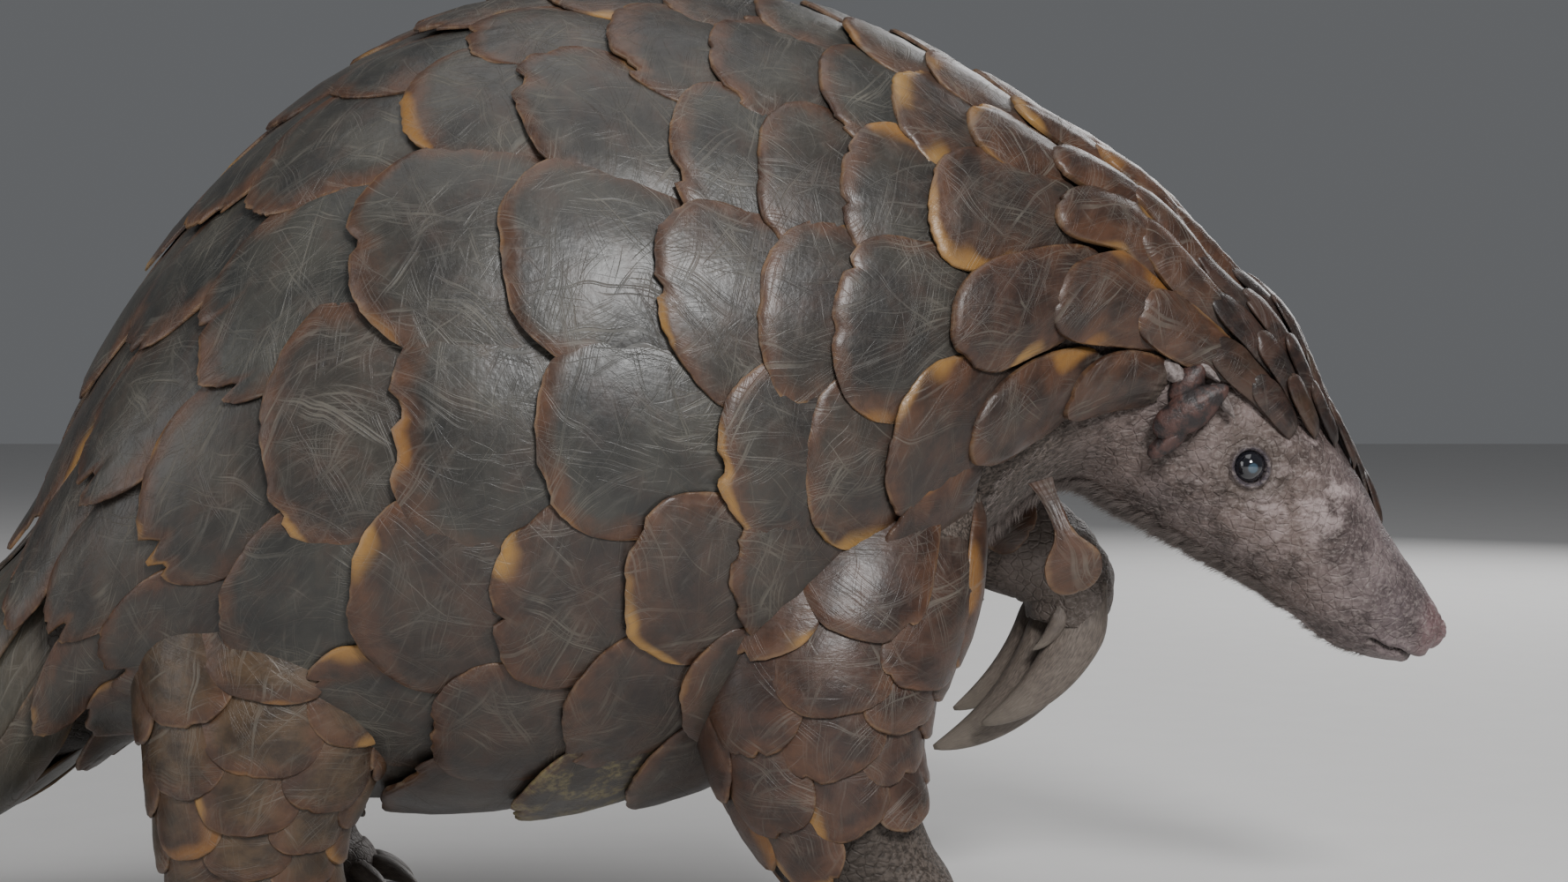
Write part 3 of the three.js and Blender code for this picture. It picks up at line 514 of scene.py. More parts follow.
# Each eye lies in an opening a little longer along the head than it is high, with a rim and wrinkles.
FAR_OFF = 99.0
LID_WAY, LID_LONG, LID_HIGH = np.array([0.6, 0, -0.8]), 1.06, 0.97
push = np.zeros(len(spots))
eye_gap = np.full(len(spots), FAR_OFF)
for spot, centre in zip(eye_spots, eye_centres):
    outward = one_long(spot - centre)
    apart = (spots - spot) * 1000
    depth = apart @ outward
    flat_length, flat_across = split(apart - depth[:, None] * outward, LID_WAY)
    wide = np.hypot(flat_length / LID_LONG, flat_across / LID_HIGH)
    wide[np.abs(depth) > 12] = FAR_OFF
    eye_gap = np.minimum(eye_gap, wide)
lids = -5.5 * (1 - ease(eye_gap, 3.5, 4.6)) + hump(eye_gap, 5.3, 0.8) - 0.4 * hump(eye_gap, 7.0, 0.9)
turned = np.arctan2(spots[:, 2] - eye_spots[0][2], spots[:, 0] - eye_spots[0][0])
wrinkled = eye_gap + 0.7 * np.sin(3 * turned + 1) + 0.4 * np.sin(7 * turned)
much = 0.5 + 0.5 * np.sin(turned * 2 + 3.6) * np.sin(turned * 5 + 1)
for depth, middle, width in ((0.5, 8.8, 1.1), (-0.55, 10.4, 0.8), (0.45, 11.8, 1.2)):
    lids += much * depth * hump(wrinkled, middle, width)
push += np.where(eye_gap < 20, lids, 0)

# The opening of each ear is a hollow, twice as long as it is wide.
EAR_HOLE, EAR_WAY, EAR_LONG, EAR_DEPTH = np.array([171.0, 35.0, 146.5]), np.array([0.8, 0, 0.6]), 2.0, 2.6
ear_gap = np.full(len(spots), FAR_OFF)
for side in (-1, 1):
    along_ear, off_ear = split((spots - placed(EAR_HOLE * (1, side, 1))) * 1000, EAR_WAY)
    ear_gap = np.minimum(ear_gap, np.hypot(along_ear / EAR_LONG, off_ear))
push -= EAR_DEPTH * (1 - ease(ear_gap, 2.5, 6.5))

# The mouth is a slightly wavy groove between two lips that slopes up towards the cheeks.
MOUTH_TURN = math.radians(22)
from_mouth = (spots - MOUTH_AT) * 1000
over, aside = split(from_mouth, np.array([math.sin(MOUTH_TURN), 0, math.cos(MOUTH_TURN)]))
over = over + 0.25 * np.sin(from_mouth[:, 0] * 0.8)
here = (1 - ease(aside, 15.0, 17.5)) * (from_mouth[:, 0] > -12)
push += here * (-1.7 * hump(over, 0, 0.5) + 0.5 * hump(over, 1.9, 1.1) + 0.55 * hump(over, -1.8, 1.0))

# Each nostril is a slanting slit with a soft rim.
NOSTRIL, SLIT_WAY, SLIT_LONG, SLIT_WIDE = np.array([245.4, 4.4, 88.0]), np.array([0.64, 0, -0.77]), 1.9, 1.15
for side in (-1, 1):
    long_way, short_way = split((spots - placed(NOSTRIL * (1, side, 1))) * 1000, SLIT_WAY)
    reach = np.hypot(long_way / SLIT_LONG, short_way / SLIT_WIDE)
    push += -2.4 * np.exp(-reach ** 2) + 0.5 * hump(reach, 1.75, 0.45)

# Loose skin gathers in folds on the throat, round the muzzle and on the feet.
FOLD_WAVES, FOLD_SEED, FULL_TURN = 26, 11, 6.3
FOLD_SHORT, FOLD_LONG = 4.5, 14
rng = np.random.default_rng(FOLD_SEED)
mm = spots * 1000
folds = np.zeros(len(spots))
for wave in range(FOLD_WAVES):
    size = rng.uniform(FOLD_SHORT, FOLD_LONG)
    way = one_long(rng.normal(size=3))
    waver = rng.uniform(0, FULL_TURN) + 1.3 * np.sin(mm[:, 2] / 7.0)
    folds += size / FOLD_LONG * np.sin(mm @ way * 2 * math.pi / size + waver)
folds /= FOLD_WAVES ** 0.5
local = mm - SHIFT
on_face = ease(local[:, 0], 120, 160)
low_leg = (1 - ease(mm[:, 2], 14, 30)) * (local[:, 0] > -120) * (local[:, 0] < 130)
raised_foot = ease(local[:, 0], 118, 132) * (local[:, 1] > 22) * (local[:, 2] < 117) * (local[:, 2] > 70)
foot = np.maximum(low_leg, raised_foot)
push += folds * (0.28 * on_face * ease(eye_gap, 5.5, 9) + 0.5 * foot * (local[:, 2] > 1.5))
spots = spots + normals * push[:, None] / 1000
spots[:, 2] = np.maximum(spots[:, 2], 0)
move_corners(skin, spots)


def add_measure(piece, name, values):
    """Writes one number for each corner of the mesh, for its material."""
    layer = piece.data.attributes.new(name, "FLOAT", "POINT")
    layer.data.foreach_set("value", np.ascontiguousarray(values, np.float32))


nose_pad = np.linalg.norm((spots - NOSE_AT) * 1000 * (1, 0.8, 0.85), axis=1)
brow_gap = np.hypot((local[:, 0] - 203) / 20, (local[:, 2] - 128) / 15)
for name, values in {
    "nose": 1 - ease(nose_pad, 8.5, 14),
    "eye_gap": eye_gap,
    # painted shade: where the hollow of the ear's opening is painted near black
    "ear": 1 - ease(ear_gap, 2.0, 6.0),
    "foot": foot,
    "muzzle": ease(local[:, 0], 196, 232),
    "pale": 0.25 + 0.75 * (1 - ease(brow_gap, 0.4, 1.4)),
    "face": on_face,
    "nape": ease(local[:, 0], 60, 110),
    "bare": np.maximum(ease(local[:, 0], 128, 150), foot),
    # partly the dark line where the lips meet, partly painted shade in the mouth's slit
    "seam": np.where(np.abs(over) < 3, here * hump(over, 0, 0.55), 0),
}.items():
    add_measure(skin, name, values)


def painted(tone, *layers):
    """A colour with others laid over it, each as far as its mask is 1."""
    for mask, colour in layers:
        tone = mask.tint(tone, colour)
    return tone


hide, start, feed = new_finish("bare_hide", Specular_IOR_Level=0.4)
where = start.place()
cloud = start.spots(where, 60, 4, 0.6)
blotch = start.spots(where, 210, 3, 0.55)
speck = start.spots(where, 900, 2, 0.5)
hairs = start.spots(where, 1300, 2, 0.6, squeeze=(0.3, 1, 0.8))
wisps = start.spots(where, 85, 5, 0.7, squeeze=(0.7, 1, 1))
on_head, nose, gap = start.measure("face"), start.measure("nose"), start.measure("eye_gap")
face_tone = cloud.ease(0.4, 0.62).tint((0.042, 0.028, 0.024), (0.13, 0.095, 0.084))
face_tone = (blotch.ease(0.5, 0.75) * 0.4).tint(face_tone, (0.2, 0.15, 0.132))
muzzle_tone = cloud.ease(0.35, 0.66).tint((0.058, 0.042, 0.043), (0.115, 0.088, 0.094))
nose_tone = blotch.ease(0.3, 0.7).tint((0.13, 0.075, 0.075), (0.21, 0.135, 0.138))
foot_tone = cloud.ease(0.3, 0.7).tint((0.07, 0.054, 0.044), (0.16, 0.132, 0.118))
nape_tone = hairs.ease(0.35, 0.65).tint((0.035, 0.026, 0.02), (0.12, 0.095, 0.08))
tone = painted(
    face_tone,
    (start.measure("muzzle") * 0.8, muzzle_tone),
    (wisps.ease(0.47, 0.63) * start.measure("pale") * 0.85, (0.4, 0.32, 0.31)),
    (nose * 0.85, nose_tone),
    ((1 - gap.ease(6.0, 15.0)) * 0.65, (0.06, 0.045, 0.036)),
    (1 - gap.ease(4.4, 7.0), (0.05, 0.038, 0.04)),
    (gap.ease(4.3, 4.7) * (1 - gap.ease(4.9, 5.7)) * 0.7, (0.058, 0.048, 0.06)),
    (start.measure("foot"), foot_tone),
    (1 - start.measure("bare"), start.measure("nape").tint((0.03, 0.023, 0.018), nape_tone)),
    # The mouth's slit is painted near black: partly the dark line where the lips meet, partly painted shade.
    (start.measure("seam") * 0.9, (0.012, 0.008, 0.008)),
    (speck.ease(0.56, 0.7) * 0.3 * on_head, (0.3, 0.26, 0.24)),
    (hairs.ease(0.5, 0.66) * 0.3 * on_head, (0.32, 0.27, 0.25)),
    # Painted shade: the ear's opening is painted near black for the shade in its hollow.
    (start.measure("ear") * 0.9, (0.02, 0.013, 0.011)),
)
pebbles = start.cells(where, 900, "F1")
creases = start.cells(where, 330, "DISTANCE_TO_EDGE")
height = creases.ease(0, 0.12) * 0.5 + pebbles * 0.3 + hairs * 0.7 + speck * 0.4
feed(Base_Color=tone, Roughness=0.62 - 0.16 * nose + 0.2 * (blotch - 0.5),
     Normal=start.relief(height, 0.0006, 0.75))
skin.data.materials.clear()
skin.data.materials.append(hide)
pick(skin)
bpy.ops.object.shade_smooth()
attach(skin, "root")
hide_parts("head", "neck", "torso", "tail_base", "tail_middle", "tail_end", "hind_leg_right",
            "hind_leg_left", "hind_foot_right", "hind_foot_left", "foreleg_right", "foreleg_left",
            "forefoot_right", "forefoot_left")


# Eyes
# Small round eyes, wet and black, sunk between the lids. Each is one ball whose clear front stands a little
# prouder, with a painted bluish reflection of light on the pupil, in an almost black iris.
PUPIL_FROM, PUPIL_FULL = 4.64, 4.8  # how far forward in the ball the pupil begins
CLEAR_FROM, CLEAR_FULL, CLEAR_RISE = 0.0034, 0.0049, 0.05
for word, centre, spot in zip(("right", "left"), eye_centres, eye_spots):
    bpy.ops.object.select_all(action="DESELECT")
    bpy.ops.mesh.primitive_uv_sphere_add(segments=48, ring_count=32, radius=EYE_RADIUS / 1000)
    eyeball = bpy.context.object
    eyeball.name = "eyeball_" + word
    outward = one_long(spot - centre)
    turn = Vector(outward).to_track_quat("Z", "Y").to_matrix()
    ball = corners_of(eyeball) @ np.array(turn).T
    forward = ball @ outward
    add_measure(eyeball, "front", forward * 1000)
    clear = CLEAR_RISE * ease(forward, CLEAR_FROM, CLEAR_FULL)
    move_corners(eyeball, centre + ball * (1 + clear)[:, None])
    bpy.ops.object.shade_smooth()
    wet_eye, start, feed = new_finish(
        "wet_eye_" + word, Roughness=0.04, Coat_Weight=1.0, Coat_Roughness=0.02)
    # The pupil is painted bluish: a painted reflection of light in the eye. The iris round it stays almost
    # black.
    pupil_eyeshine = start.measure("front").ease(PUPIL_FROM, PUPIL_FULL)
    iris = start.spots(start.place(), 1800).tint((0.004, 0.004, 0.006), (0.012, 0.012, 0.017))
    feed(Base_Color=pupil_eyeshine.tint(iris, (0.04, 0.07, 0.1)))
    eyeball.data.materials.append(wet_eye)
    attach(eyeball, "root")
    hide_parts("eye_" + word)


# Scales of the trunk
# Plates of horn rooted in the skin at their front and free behind, each over the roots of those behind it.
# They lie in rows along the body, and their free edges are worn and chipped. Each is a copy of one flat
# blank, bent to its place.

# The distance from the nose to the free edge of each scale, row by row down from the middle of the back.
FREE_EDGES = {
    0: [48, 62, 76, 91, 106, 122, 139, 157, 176, 196, 217, 239, 264, 296, 331, 367, 404, 440],
    1: [69, 84, 99, 114, 130, 148, 167, 187, 207, 228, 250, 279, 313, 349, 386, 423],
    2: [78, 92, 107, 122, 139, 158, 177, 195, 212, 238, 262, 296, 330, 367, 404, 440],
    3: [85, 99, 114, 136, 155, 184, 205, 225, 246, 283, 312, 348, 385, 422],
    4: [93, 108, 130, 152, 177, 205, 224, 250, 286, 324, 360, 397, 433],
    5: [139, 166, 188, 211, 233, 277, 313, 345, 380, 416],
    6: [190, 228, 256, 289, 324, 361, 398, 434],
    7: [208, 242, 273, 307, 343, 380, 416],
    8: [225, 258, 291, 326, 362, 398, 434],
}
# The angle of each row from the ridge, at these distances from the nose.
ROW_PLACES = np.array([34, 94, 120, 136, 160, 184, 228, 250, 283, 330, 380, 440], float)
ROW_ANGLES = np.array([
    [0, 0, 0, 0, 0, 0, 0, 0, 0, 0, 0, 0],
    [13, 17.5, 16, 15, 18, 19, 18, 18, 16, 14, 17, 20],
    [26, 35, 32, 29.5, 36, 39, 37, 35, 31, 28, 34, 40],
    [39, 52, 48, 44, 56, 61, 58, 54, 46, 42, 50, 60],
    [52, 70, 70, 71, 80, 82, 79, 74, 70, 64, 70, 80],
    [65, 87, 95, 100, 103, 104, 97, 94, 93, 87, 93, 100],
    [78, 105, 113, 118, 122, 124, 114, 112, 114, 111, 115, 120],
    [91, 122, 130, 136, 141, 145, 134, 133, 136, 133, 136, 140],
    [104, 140, 148, 154, 160, 163, 153, 153, 156, 154, 157, 160],
    [117, 157, 166, 172, 178, 180, 172, 173, 176, 175, 178, 180],
], float)


def row_angle(row, distance):
    """The angle of a row, which may be a fraction, along the body."""
    size = np.clip(np.abs(row), 0, len(ROW_ANGLES) - 1.001)
    low = np.floor(size).astype(int)
    tables = [np.interp(distance, ROW_PLACES, angles) for angles in ROW_ANGLES]
    return np.sign(row) * (tables[low] * (1 - size + low) + tables[low + 1] * (size - low))


ROOT_AT, EDGE_AT = -1.05, 0.98  # where a scale begins and ends, in lengths behind its middle


def trunk_spot(row, edge_at, unit):
    """Where the parts of one scale lie: b lengths behind its middle, a rows to the side."""

    def spot(b, a, lift):
        distance = edge_at + (b - EDGE_AT) * unit
        here, upper, lower = (row_angle(row + k, distance) for k in (0, -0.5, 0.5))
        return trunk_point(section_at(distance), here + a * (lower - upper), lift)

    return spot


def face_corners(piece):
    """Which corner of the mesh each corner of each face is."""
    corner = np.empty(len(piece.data.loops), int)
    piece.data.loops.foreach_get("vertex_index", corner)
    return corner


SIDE_CROWDING, SIDE_LAST = 1.35, 0.975  # how the lines of a blank crowd towards its sides and its free edge
EDGE_CROWDING, EDGE_LAST = 1.25, 0.984
RIM_DEPTH = 0.42


def add_blank(across, down):
    """One scale, modelled flat: a grid given its thickness, with its outermost ring for a rounded rim."""
    blank = add_grid("scale_blank", across, down)
    apply_modifier(blank, "SOLIDIFY", thickness=1.0, offset=-1.0)
    flat = corners_of(blank)
    i = grid_line(flat[:, 0], across)
    j = grid_line(flat[:, 1], down)
    even = np.clip((i - 1) / (across - 2) * 2 - 1, -1, 1)
    u = np.sin(even * SIDE_CROWDING) / math.sin(SIDE_CROWDING) * SIDE_LAST
    u[i == 0] = -1
    u[i == across] = 1
    v = (1 - (1 - np.clip(j / (down - 1), 0, 1)) ** EDGE_CROWDING) * EDGE_LAST
    v[j == down] = 1
    rim = (i == 0) | (i == across) | (j == down)
    deep = np.where(flat[:, 2] < -0.5, 1.0, np.where(rim, RIM_DEPTH, 0.0))
    sizes = np.empty(len(blank.data.polygons), int)
    blank.data.polygons.foreach_get("loop_total", sizes)
    deep_face = np.array([deep[list(face.vertices)].max() > 0.5 for face in blank.data.polygons])
    return dict(piece=blank, u=u, v=v, deep=deep, corner=face_corners(blank), flat=flat,
                deep_corner=np.repeat(deep_face, sizes))


# How many waves of wear there are across half a scale, and how deep, in lengths.
WORN_WAVES = ((1.3, 0.016), (2.6, 0.01), (4.6, 0.006), (9, 0.005), (17, 0.005))


def chipped(u, seed, wear):
    """How much the free edge is worn back at each place across the scale, in lengths."""
    dice = random.Random(seed)
    worn = np.zeros_like(u)
    for waves, size in WORN_WAVES:
        wave = np.sin(u * waves * math.pi + dice.uniform(0, FULL_TURN))
        worn += size * wear * wave * dice.uniform(0.4, 1.3)
    for _ in range(dice.choice([0, 1, 1, 2, 3])):
        place = dice.uniform(-0.9, 0.9)
        width = dice.uniform(0.03, 0.13)
        deep = dice.uniform(0.02, 0.11) * wear
        worn += deep * ease(-np.abs(u - place), -width * 1.3, -width * 0.6)
    return worn


def add_map(piece, name, places):
    """Lays the piece out flat, with a place for each corner of each face."""
    layer = piece.data.uv_layers.new(name=name)
    layer.data.foreach_set("uv", places.ravel())


LOOSE = 0.04  # how far a scale may lie off its place, in rows and lengths
TOP_AT, TOP_WIDE = 0.03, 0.75  # how its top and its underside share its patch of the baked picture
UNDER_AT, UNDER_WIDE, RIM_WIDE = 0.83, 0.12, 0.01
PATCH_AT, PATCH_HIGH = 0.05, 0.9


def lay_scale(name, blank, spot, coat, shape, cell):
    """A copy of the blank laid on the body."""
    dice = random.Random(name)
    half, narrow, reach, back, dome, thick, wear = (
        shape[k] for k in ("half", "narrow", "reach", "back", "dome", "thick", "wear"))
    shift_a = dice.uniform(-LOOSE, LOOSE)
    shift_b = dice.uniform(-LOOSE, LOOSE)
    u, v, deep = blank["u"], blank["v"], blank["deep"]
    edge = reach - back * (1 - np.sqrt(np.maximum(0, 1 - np.abs(u) ** 2.3))) - chipped(u, name, wear)
    front = shape.get("front", ROOT_AT)
    b = front + v * (edge - front)
    wide = narrow + (1 - narrow) * ease(v, 0, 0.6)
    if shape.get("rounded"):
        wide = wide * np.sqrt(np.maximum(0.02, 1 - (1 - np.clip(v / 0.4, 0, 1)) ** 2))
    skew = shape.get("skew", 0) + dice.uniform(-LOOSE, LOOSE)
    a = u * half * wide + skew * b + shift_a
    lift = coat * (b + 0.76) / 1.76 * (1 + dice.uniform(0, 0.2)) + shape.get("over", 0)
    if shape.get("rounded"):
        lift = np.maximum(lift, coat * 0.12) - coat * 0.9 * (1 - ease(v, 0, 0.2))
    else:
        lift = lift - coat * 0.8 * (1 - ease(v, 0, 0.35))
    lift = lift + dome * (1 - u ** 2) * np.sin(np.clip(v, 0, 1) * math.pi) ** 0.6
    lift = lift + dice.uniform(-0.09, 0.09) * coat * u
    # Shallow ribs run from the root to the edge, and steps of growth across them.
    ribs = dice.uniform(0, FULL_TURN)
    growth = 5 + 2 * dice.random()
    outer = thick * (1 - deep)
    lift = lift + 0.08 * outer * np.sin(u * 13 + ribs + v * 2) * (1 - v)
    lift = lift - 0.07 * outer * np.sin(v * growth * math.pi * 2 + 3 * u * u)
    thickness = thick * (1.2 - 0.5 * ease(v, 0.3, 1)) * (0.72 + 0.28 * (1 - u ** 2))
    lift = lift - thickness * deep
    spots = placed(spot(b + shift_b, a, lift))
    spots[:, 2] = np.maximum(spots[:, 2], 0.0006)
    piece = blank["piece"].copy()
    piece.data = blank["piece"].data.copy()
    piece.name = name
    bpy.context.collection.objects.link(piece)
    move_corners(piece, spots)
    # How far each place is from the free edge, in millimetres.
    still = np.zeros(2)
    unit = np.linalg.norm(np.diff(spot(np.array([-0.5, 0.5]), still, still), axis=0))
    width = np.linalg.norm(np.diff(spot(still, np.array([-0.5, 0.5]), still), axis=0))
    to_side = (1 - np.abs(u)) * half * width * 0.9 + 0.4 * (1 - ease(v, 0.15, 0.45)) * unit
    add_measure(piece, "edge", np.minimum((edge - b) * unit, to_side))
    add_measure(piece, "tone", np.full(len(u), dice.random()))
    add_measure(piece, "region", np.full(len(u), shape.get("region", 0.0)))
    add_measure(piece, "root", 1 - ease(v, 0, 0.5))
    add_measure(piece, "dusty", np.full(len(u), shape.get("dusty", 0.0)))
    # A flat pattern of the scale in metres, for its scratches and ribs, and its own patch for baked colours.
    corner = blank["corner"]
    shove = (dice.uniform(-5, 5), dice.uniform(-5, 5))
    pattern = np.stack([a * width, b * unit], -1) / 1000 + shove
    add_map(piece, "pattern", pattern[corner])
    share = (blank["flat"][corner][:, :2] + 1) / 2
    under = UNDER_AT + UNDER_WIDE * share[:, 0] + RIM_WIDE * deep[corner]
    share[:, 0] = np.where(blank["deep_corner"], under, TOP_AT + TOP_WIDE * share[:, 0])
    share[:, 1] = PATCH_AT + PATCH_HIGH * share[:, 1]
    low, high = np.array(cell)
    add_map(piece, "OFBake", low + share * (high - low))
    return piece


# Horn, olive brown and polished, with a rusty rim, and scratched all over by thorns. Where light would come
# through the thin rim, an amber glow is painted in patches, and a thin bright line right at the free edge
# is a painted highlight.
SCRATCHES = [  # the way each set runs, how thin its lines are, how strong
    (0.2, 9, 0.7), (0.6, 5, 1.0), (1.05, 10, 0.7), (1.45, 6, 0.9), (1.75, 11, 0.8), (2.2, 7, 1.0),
    (2.75, 9, 0.7),
]
horn, start, feed = new_finish("horn", Specular_IOR_Level=0.5)
pattern = start.node("ShaderNodeUVMap", uv_map="pattern")
edge, region, own_tone, root = (start.measure(name) for name in ("edge", "region", "tone", "root"))
cloud = start.spots(pattern, 42, 4, 0.6)
patches = start.spots(pattern, 95, 5, 0.65)
fine = start.spots(pattern, 620, 3, 0.6)
ribs = start.spots(pattern, 60, 3, 0.6, squeeze=(11, 0.6, 1))
rings = start.spots(pattern, 60, 2, 0.6, squeeze=(0.8, 9, 1))
wide_spot = start.spots(pattern, 27, 2, 0.5)
dust = start.spots(start.place(), 150, 4, 0.65).ease(0.5, 0.8)
grey_tail = region.ease(2.0, 3.0)
crown = region.ease(0.0, -1.0)
leg_or_tail = region.ease(0.85, 1.0)

# The scratches bend a little and break off, and grit leaves scuffs between them.
warp = start.node("ShaderNodeTexNoise", {"Vector": pattern, "Scale": 50, "Detail": 1.0}, out=1)
bowed = {0: warp, 1: (0.008, 0.008, 0), 2: pattern}
bowed = start.node("ShaderNodeVectorMath", bowed, operation="MULTIPLY_ADD")
scratched = None
for turn, across, much in SCRATCHES:
    lines = start.spots(bowed, 100, 1, 0.5, squeeze=(0.12, across, 1), turn=turn)
    broken = start.spots(bowed, 70, 2, 0.6, squeeze=(0.4, 1.7, 1), turn=turn + 0.06).ease(0.5, 0.64)
    line = (1 - abs(lines - 0.5).ease(0.004, 0.03)) * broken * much
    scratched = line if scratched is None else start.maths("MAXIMUM", scratched, line)
scuffs = start.spots(bowed, 240, 4, 0.75, squeeze=(0.3, 1.6, 1), turn=0.9).ease(0.52, 0.74)
scratch_mask = scratched * (0.35 + 0.65 * cloud.ease(0.4, 0.62))

olive = cloud.ease(0.3, 0.7).tint((0.017, 0.0175, 0.0165), (0.045, 0.043, 0.036))
brown = patches.ease(0.35, 0.65).tint((0.024, 0.0125, 0.0095), (0.06, 0.029, 0.019))
ochre = patches.ease(0.35, 0.65).tint((0.034, 0.022, 0.012), (0.088, 0.056, 0.027))
grey = cloud.tint((0.028, 0.029, 0.024), (0.058, 0.058, 0.047))
rust = patches.ease(0.3, 0.7).tint((0.04, 0.019, 0.012), (0.095, 0.043, 0.023))
rust_reach = 2.5 + patches * 7 + wide_spot.ease(0.42, 0.65) * 6
# Painted glow: amber laid on in patches near the free edge, standing in for light shining through the thin
# horn.
painted_glow = (fine * 0.4 + own_tone * 0.8).tint((0.15, 0.055, 0.014), (0.3, 0.17, 0.05))
painted_glow_reach = 0.5 + wide_spot.ease(0.53, 0.7) * 7
painted_glow_patches = wide_spot.ease(0.55, 0.64) * (1 - 0.8 * grey_tail)
dark = patches.ease(0.4, 0.62).tint((0.014, 0.009, 0.008), (0.045, 0.024, 0.018))
fibre_mask = ribs.ease(0.4, 0.62) * 0.6 + rings.ease(0.45, 0.6) * 0.4
fibres = fibre_mask.tint((0.028, 0.02, 0.016), (0.12, 0.095, 0.08))
dusty = patches.ease(0.44, 0.58) * fine.ease(0.35, 0.6) * start.measure("dusty")
tone = painted(
    olive,
    (own_tone * 0.3 + patches.ease(0.45, 0.75) * 0.25, brown),
    (region.ease(0.0, 1.0) * 0.85, brown),
    (region.ease(1.0, 2.0) * 0.85, ochre),
    (grey_tail * 0.7, grey),
    ((1 - (edge / rust_reach).ease(0.1, 1.0)) * (0.85 - 0.5 * grey_tail), rust),
    # painted amber glow of light through the thin rim, in patches
    ((1 - (edge / painted_glow_reach).ease(0.2, 1.0)) * painted_glow_patches, painted_glow),
    # painted highlight: a thin bright line right at the free edge, in patches, where light catches the rim
    ((1 - edge.ease(0.3, 1.1)) * patches.ease(0.42, 0.6) * 0.6, (0.17, 0.1, 0.05)),
    (crown * 0.92, dark),
    (root.ease(0.3, 0.85) * (0.85 - 0.5 * crown - 0.6 * leg_or_tail), fibres),
    (scratch_mask * (0.42 - 0.3 * crown), (0.17, 0.155, 0.125)),
    (scuffs * 0.17, (0.15, 0.14, 0.12)),
    (dusty * 0.75, (0.2, 0.17, 0.075)),
    (dust * 0.12, (0.13, 0.112, 0.085)),
)
polish = 0.3 + 0.14 * patches + 0.2 * scratched + 0.14 * dust + 0.12 * (fine - 0.5) + 0.1 * root
height = ribs * (root * 1.1 + 0.07) + rings * (root * 0.8 + 0.1)
height = height + 0.22 * fine + cloud * 0.8 - 0.18 * scratched
feed(Base_Color=tone, Roughness=polish, Normal=start.relief(height, 0.0007, 0.6))


def join_scales(name, plates):
    """Joins laid scales to one piece of the coat."""
    pick(*plates)
    bpy.ops.object.join()
    coat_piece = bpy.context.object
    coat_piece.name = name
    coat_piece.data.materials.clear()
    coat_piece.data.materials.append(horn)
    bpy.ops.object.mode_set(mode="EDIT")
    bpy.ops.mesh.select_all(action="SELECT")
    bpy.ops.mesh.normals_make_consistent(inside=False)
    bpy.ops.object.mode_set(mode="OBJECT")
    bpy.ops.object.shade_smooth_by_angle(angle=math.radians(50))
    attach(coat_piece, "root")


def lay_group(group, members):
    """Lays the scales of one piece of the coat, each with its own patch of the baked picture."""
    columns = [member["column"] for member in members]
    lines = [member["line"] for member in members]
    wide, tall = max(columns) - min(columns) + 1, max(lines) - min(lines) + 1
    plates = []
    for n, member in enumerate(members):
        i, j = member["column"] - min(columns), member["line"] - min(lines)
        cell = ((i / wide, j / tall), ((i + 1) / wide, (j + 1) / tall))
        spot, coat, shape = member["spot"], member["coat"], member["shape"]
        plates.append(lay_scale(f"{group}_{n}", member["blank"], spot, coat, shape, cell))
    join_scales(group, plates)


CROWN_SHAPE = dict(half=0.46, narrow=0.8, reach=0.92, back=0.6, dome=1.3, thick=1.0, wear=0.5, region=-1.0)
NECK_SHAPE = dict(half=0.56, narrow=0.7, reach=0.92, back=0.9, dome=3.0, thick=1.9, wear=0.45, region=0.75,
                  front=-0.82, rounded=True)
BACK_SHAPE = dict(half=0.68, narrow=0.62, reach=0.98, back=0.7, dome=1.9, thick=1.5, wear=1.0, region=0.0)
RUMP_SHAPE = dict(half=0.68, narrow=0.62, reach=1.0, back=0.6, dome=1.2, thick=1.4, wear=1.3, region=0.0)
CROWN_TO, NECK_TO, BACK_TO = 126, 180, 342
LOW_ROWS_BROWN = {5: 0.1, 6: 0.4, 7: 0.4, 8: 0.4}
USUAL_UNIT = ((40, 120, 180, 230, 260, 450), (14, 17, 21, 23, 33, 37))
TRUNK_COAT = 1.35
DUSTY_SCALE = (-8, 291)
large_blank = add_blank(40, 14)
small_blank = add_blank(24, 10)


def trunk_shape(distance, row):
    """What a scale is like by where it grows, and which piece of the coat it belongs to."""
    side = "right" if row < 0 else "left"
    if distance < CROWN_TO:
        return "scales_crown", dict(CROWN_SHAPE), small_blank
    if distance < NECK_TO:
        return "scales_neck", dict(NECK_SHAPE), large_blank
    if distance < BACK_TO:
        brown = LOW_ROWS_BROWN.get(abs(row), 0.0) + 0.5 * float(ease(-distance, -225, -180))
        return "scales_back_" + side, dict(BACK_SHAPE, region=brown), large_blank
    return "scales_rump_" + side, dict(RUMP_SHAPE), large_blank


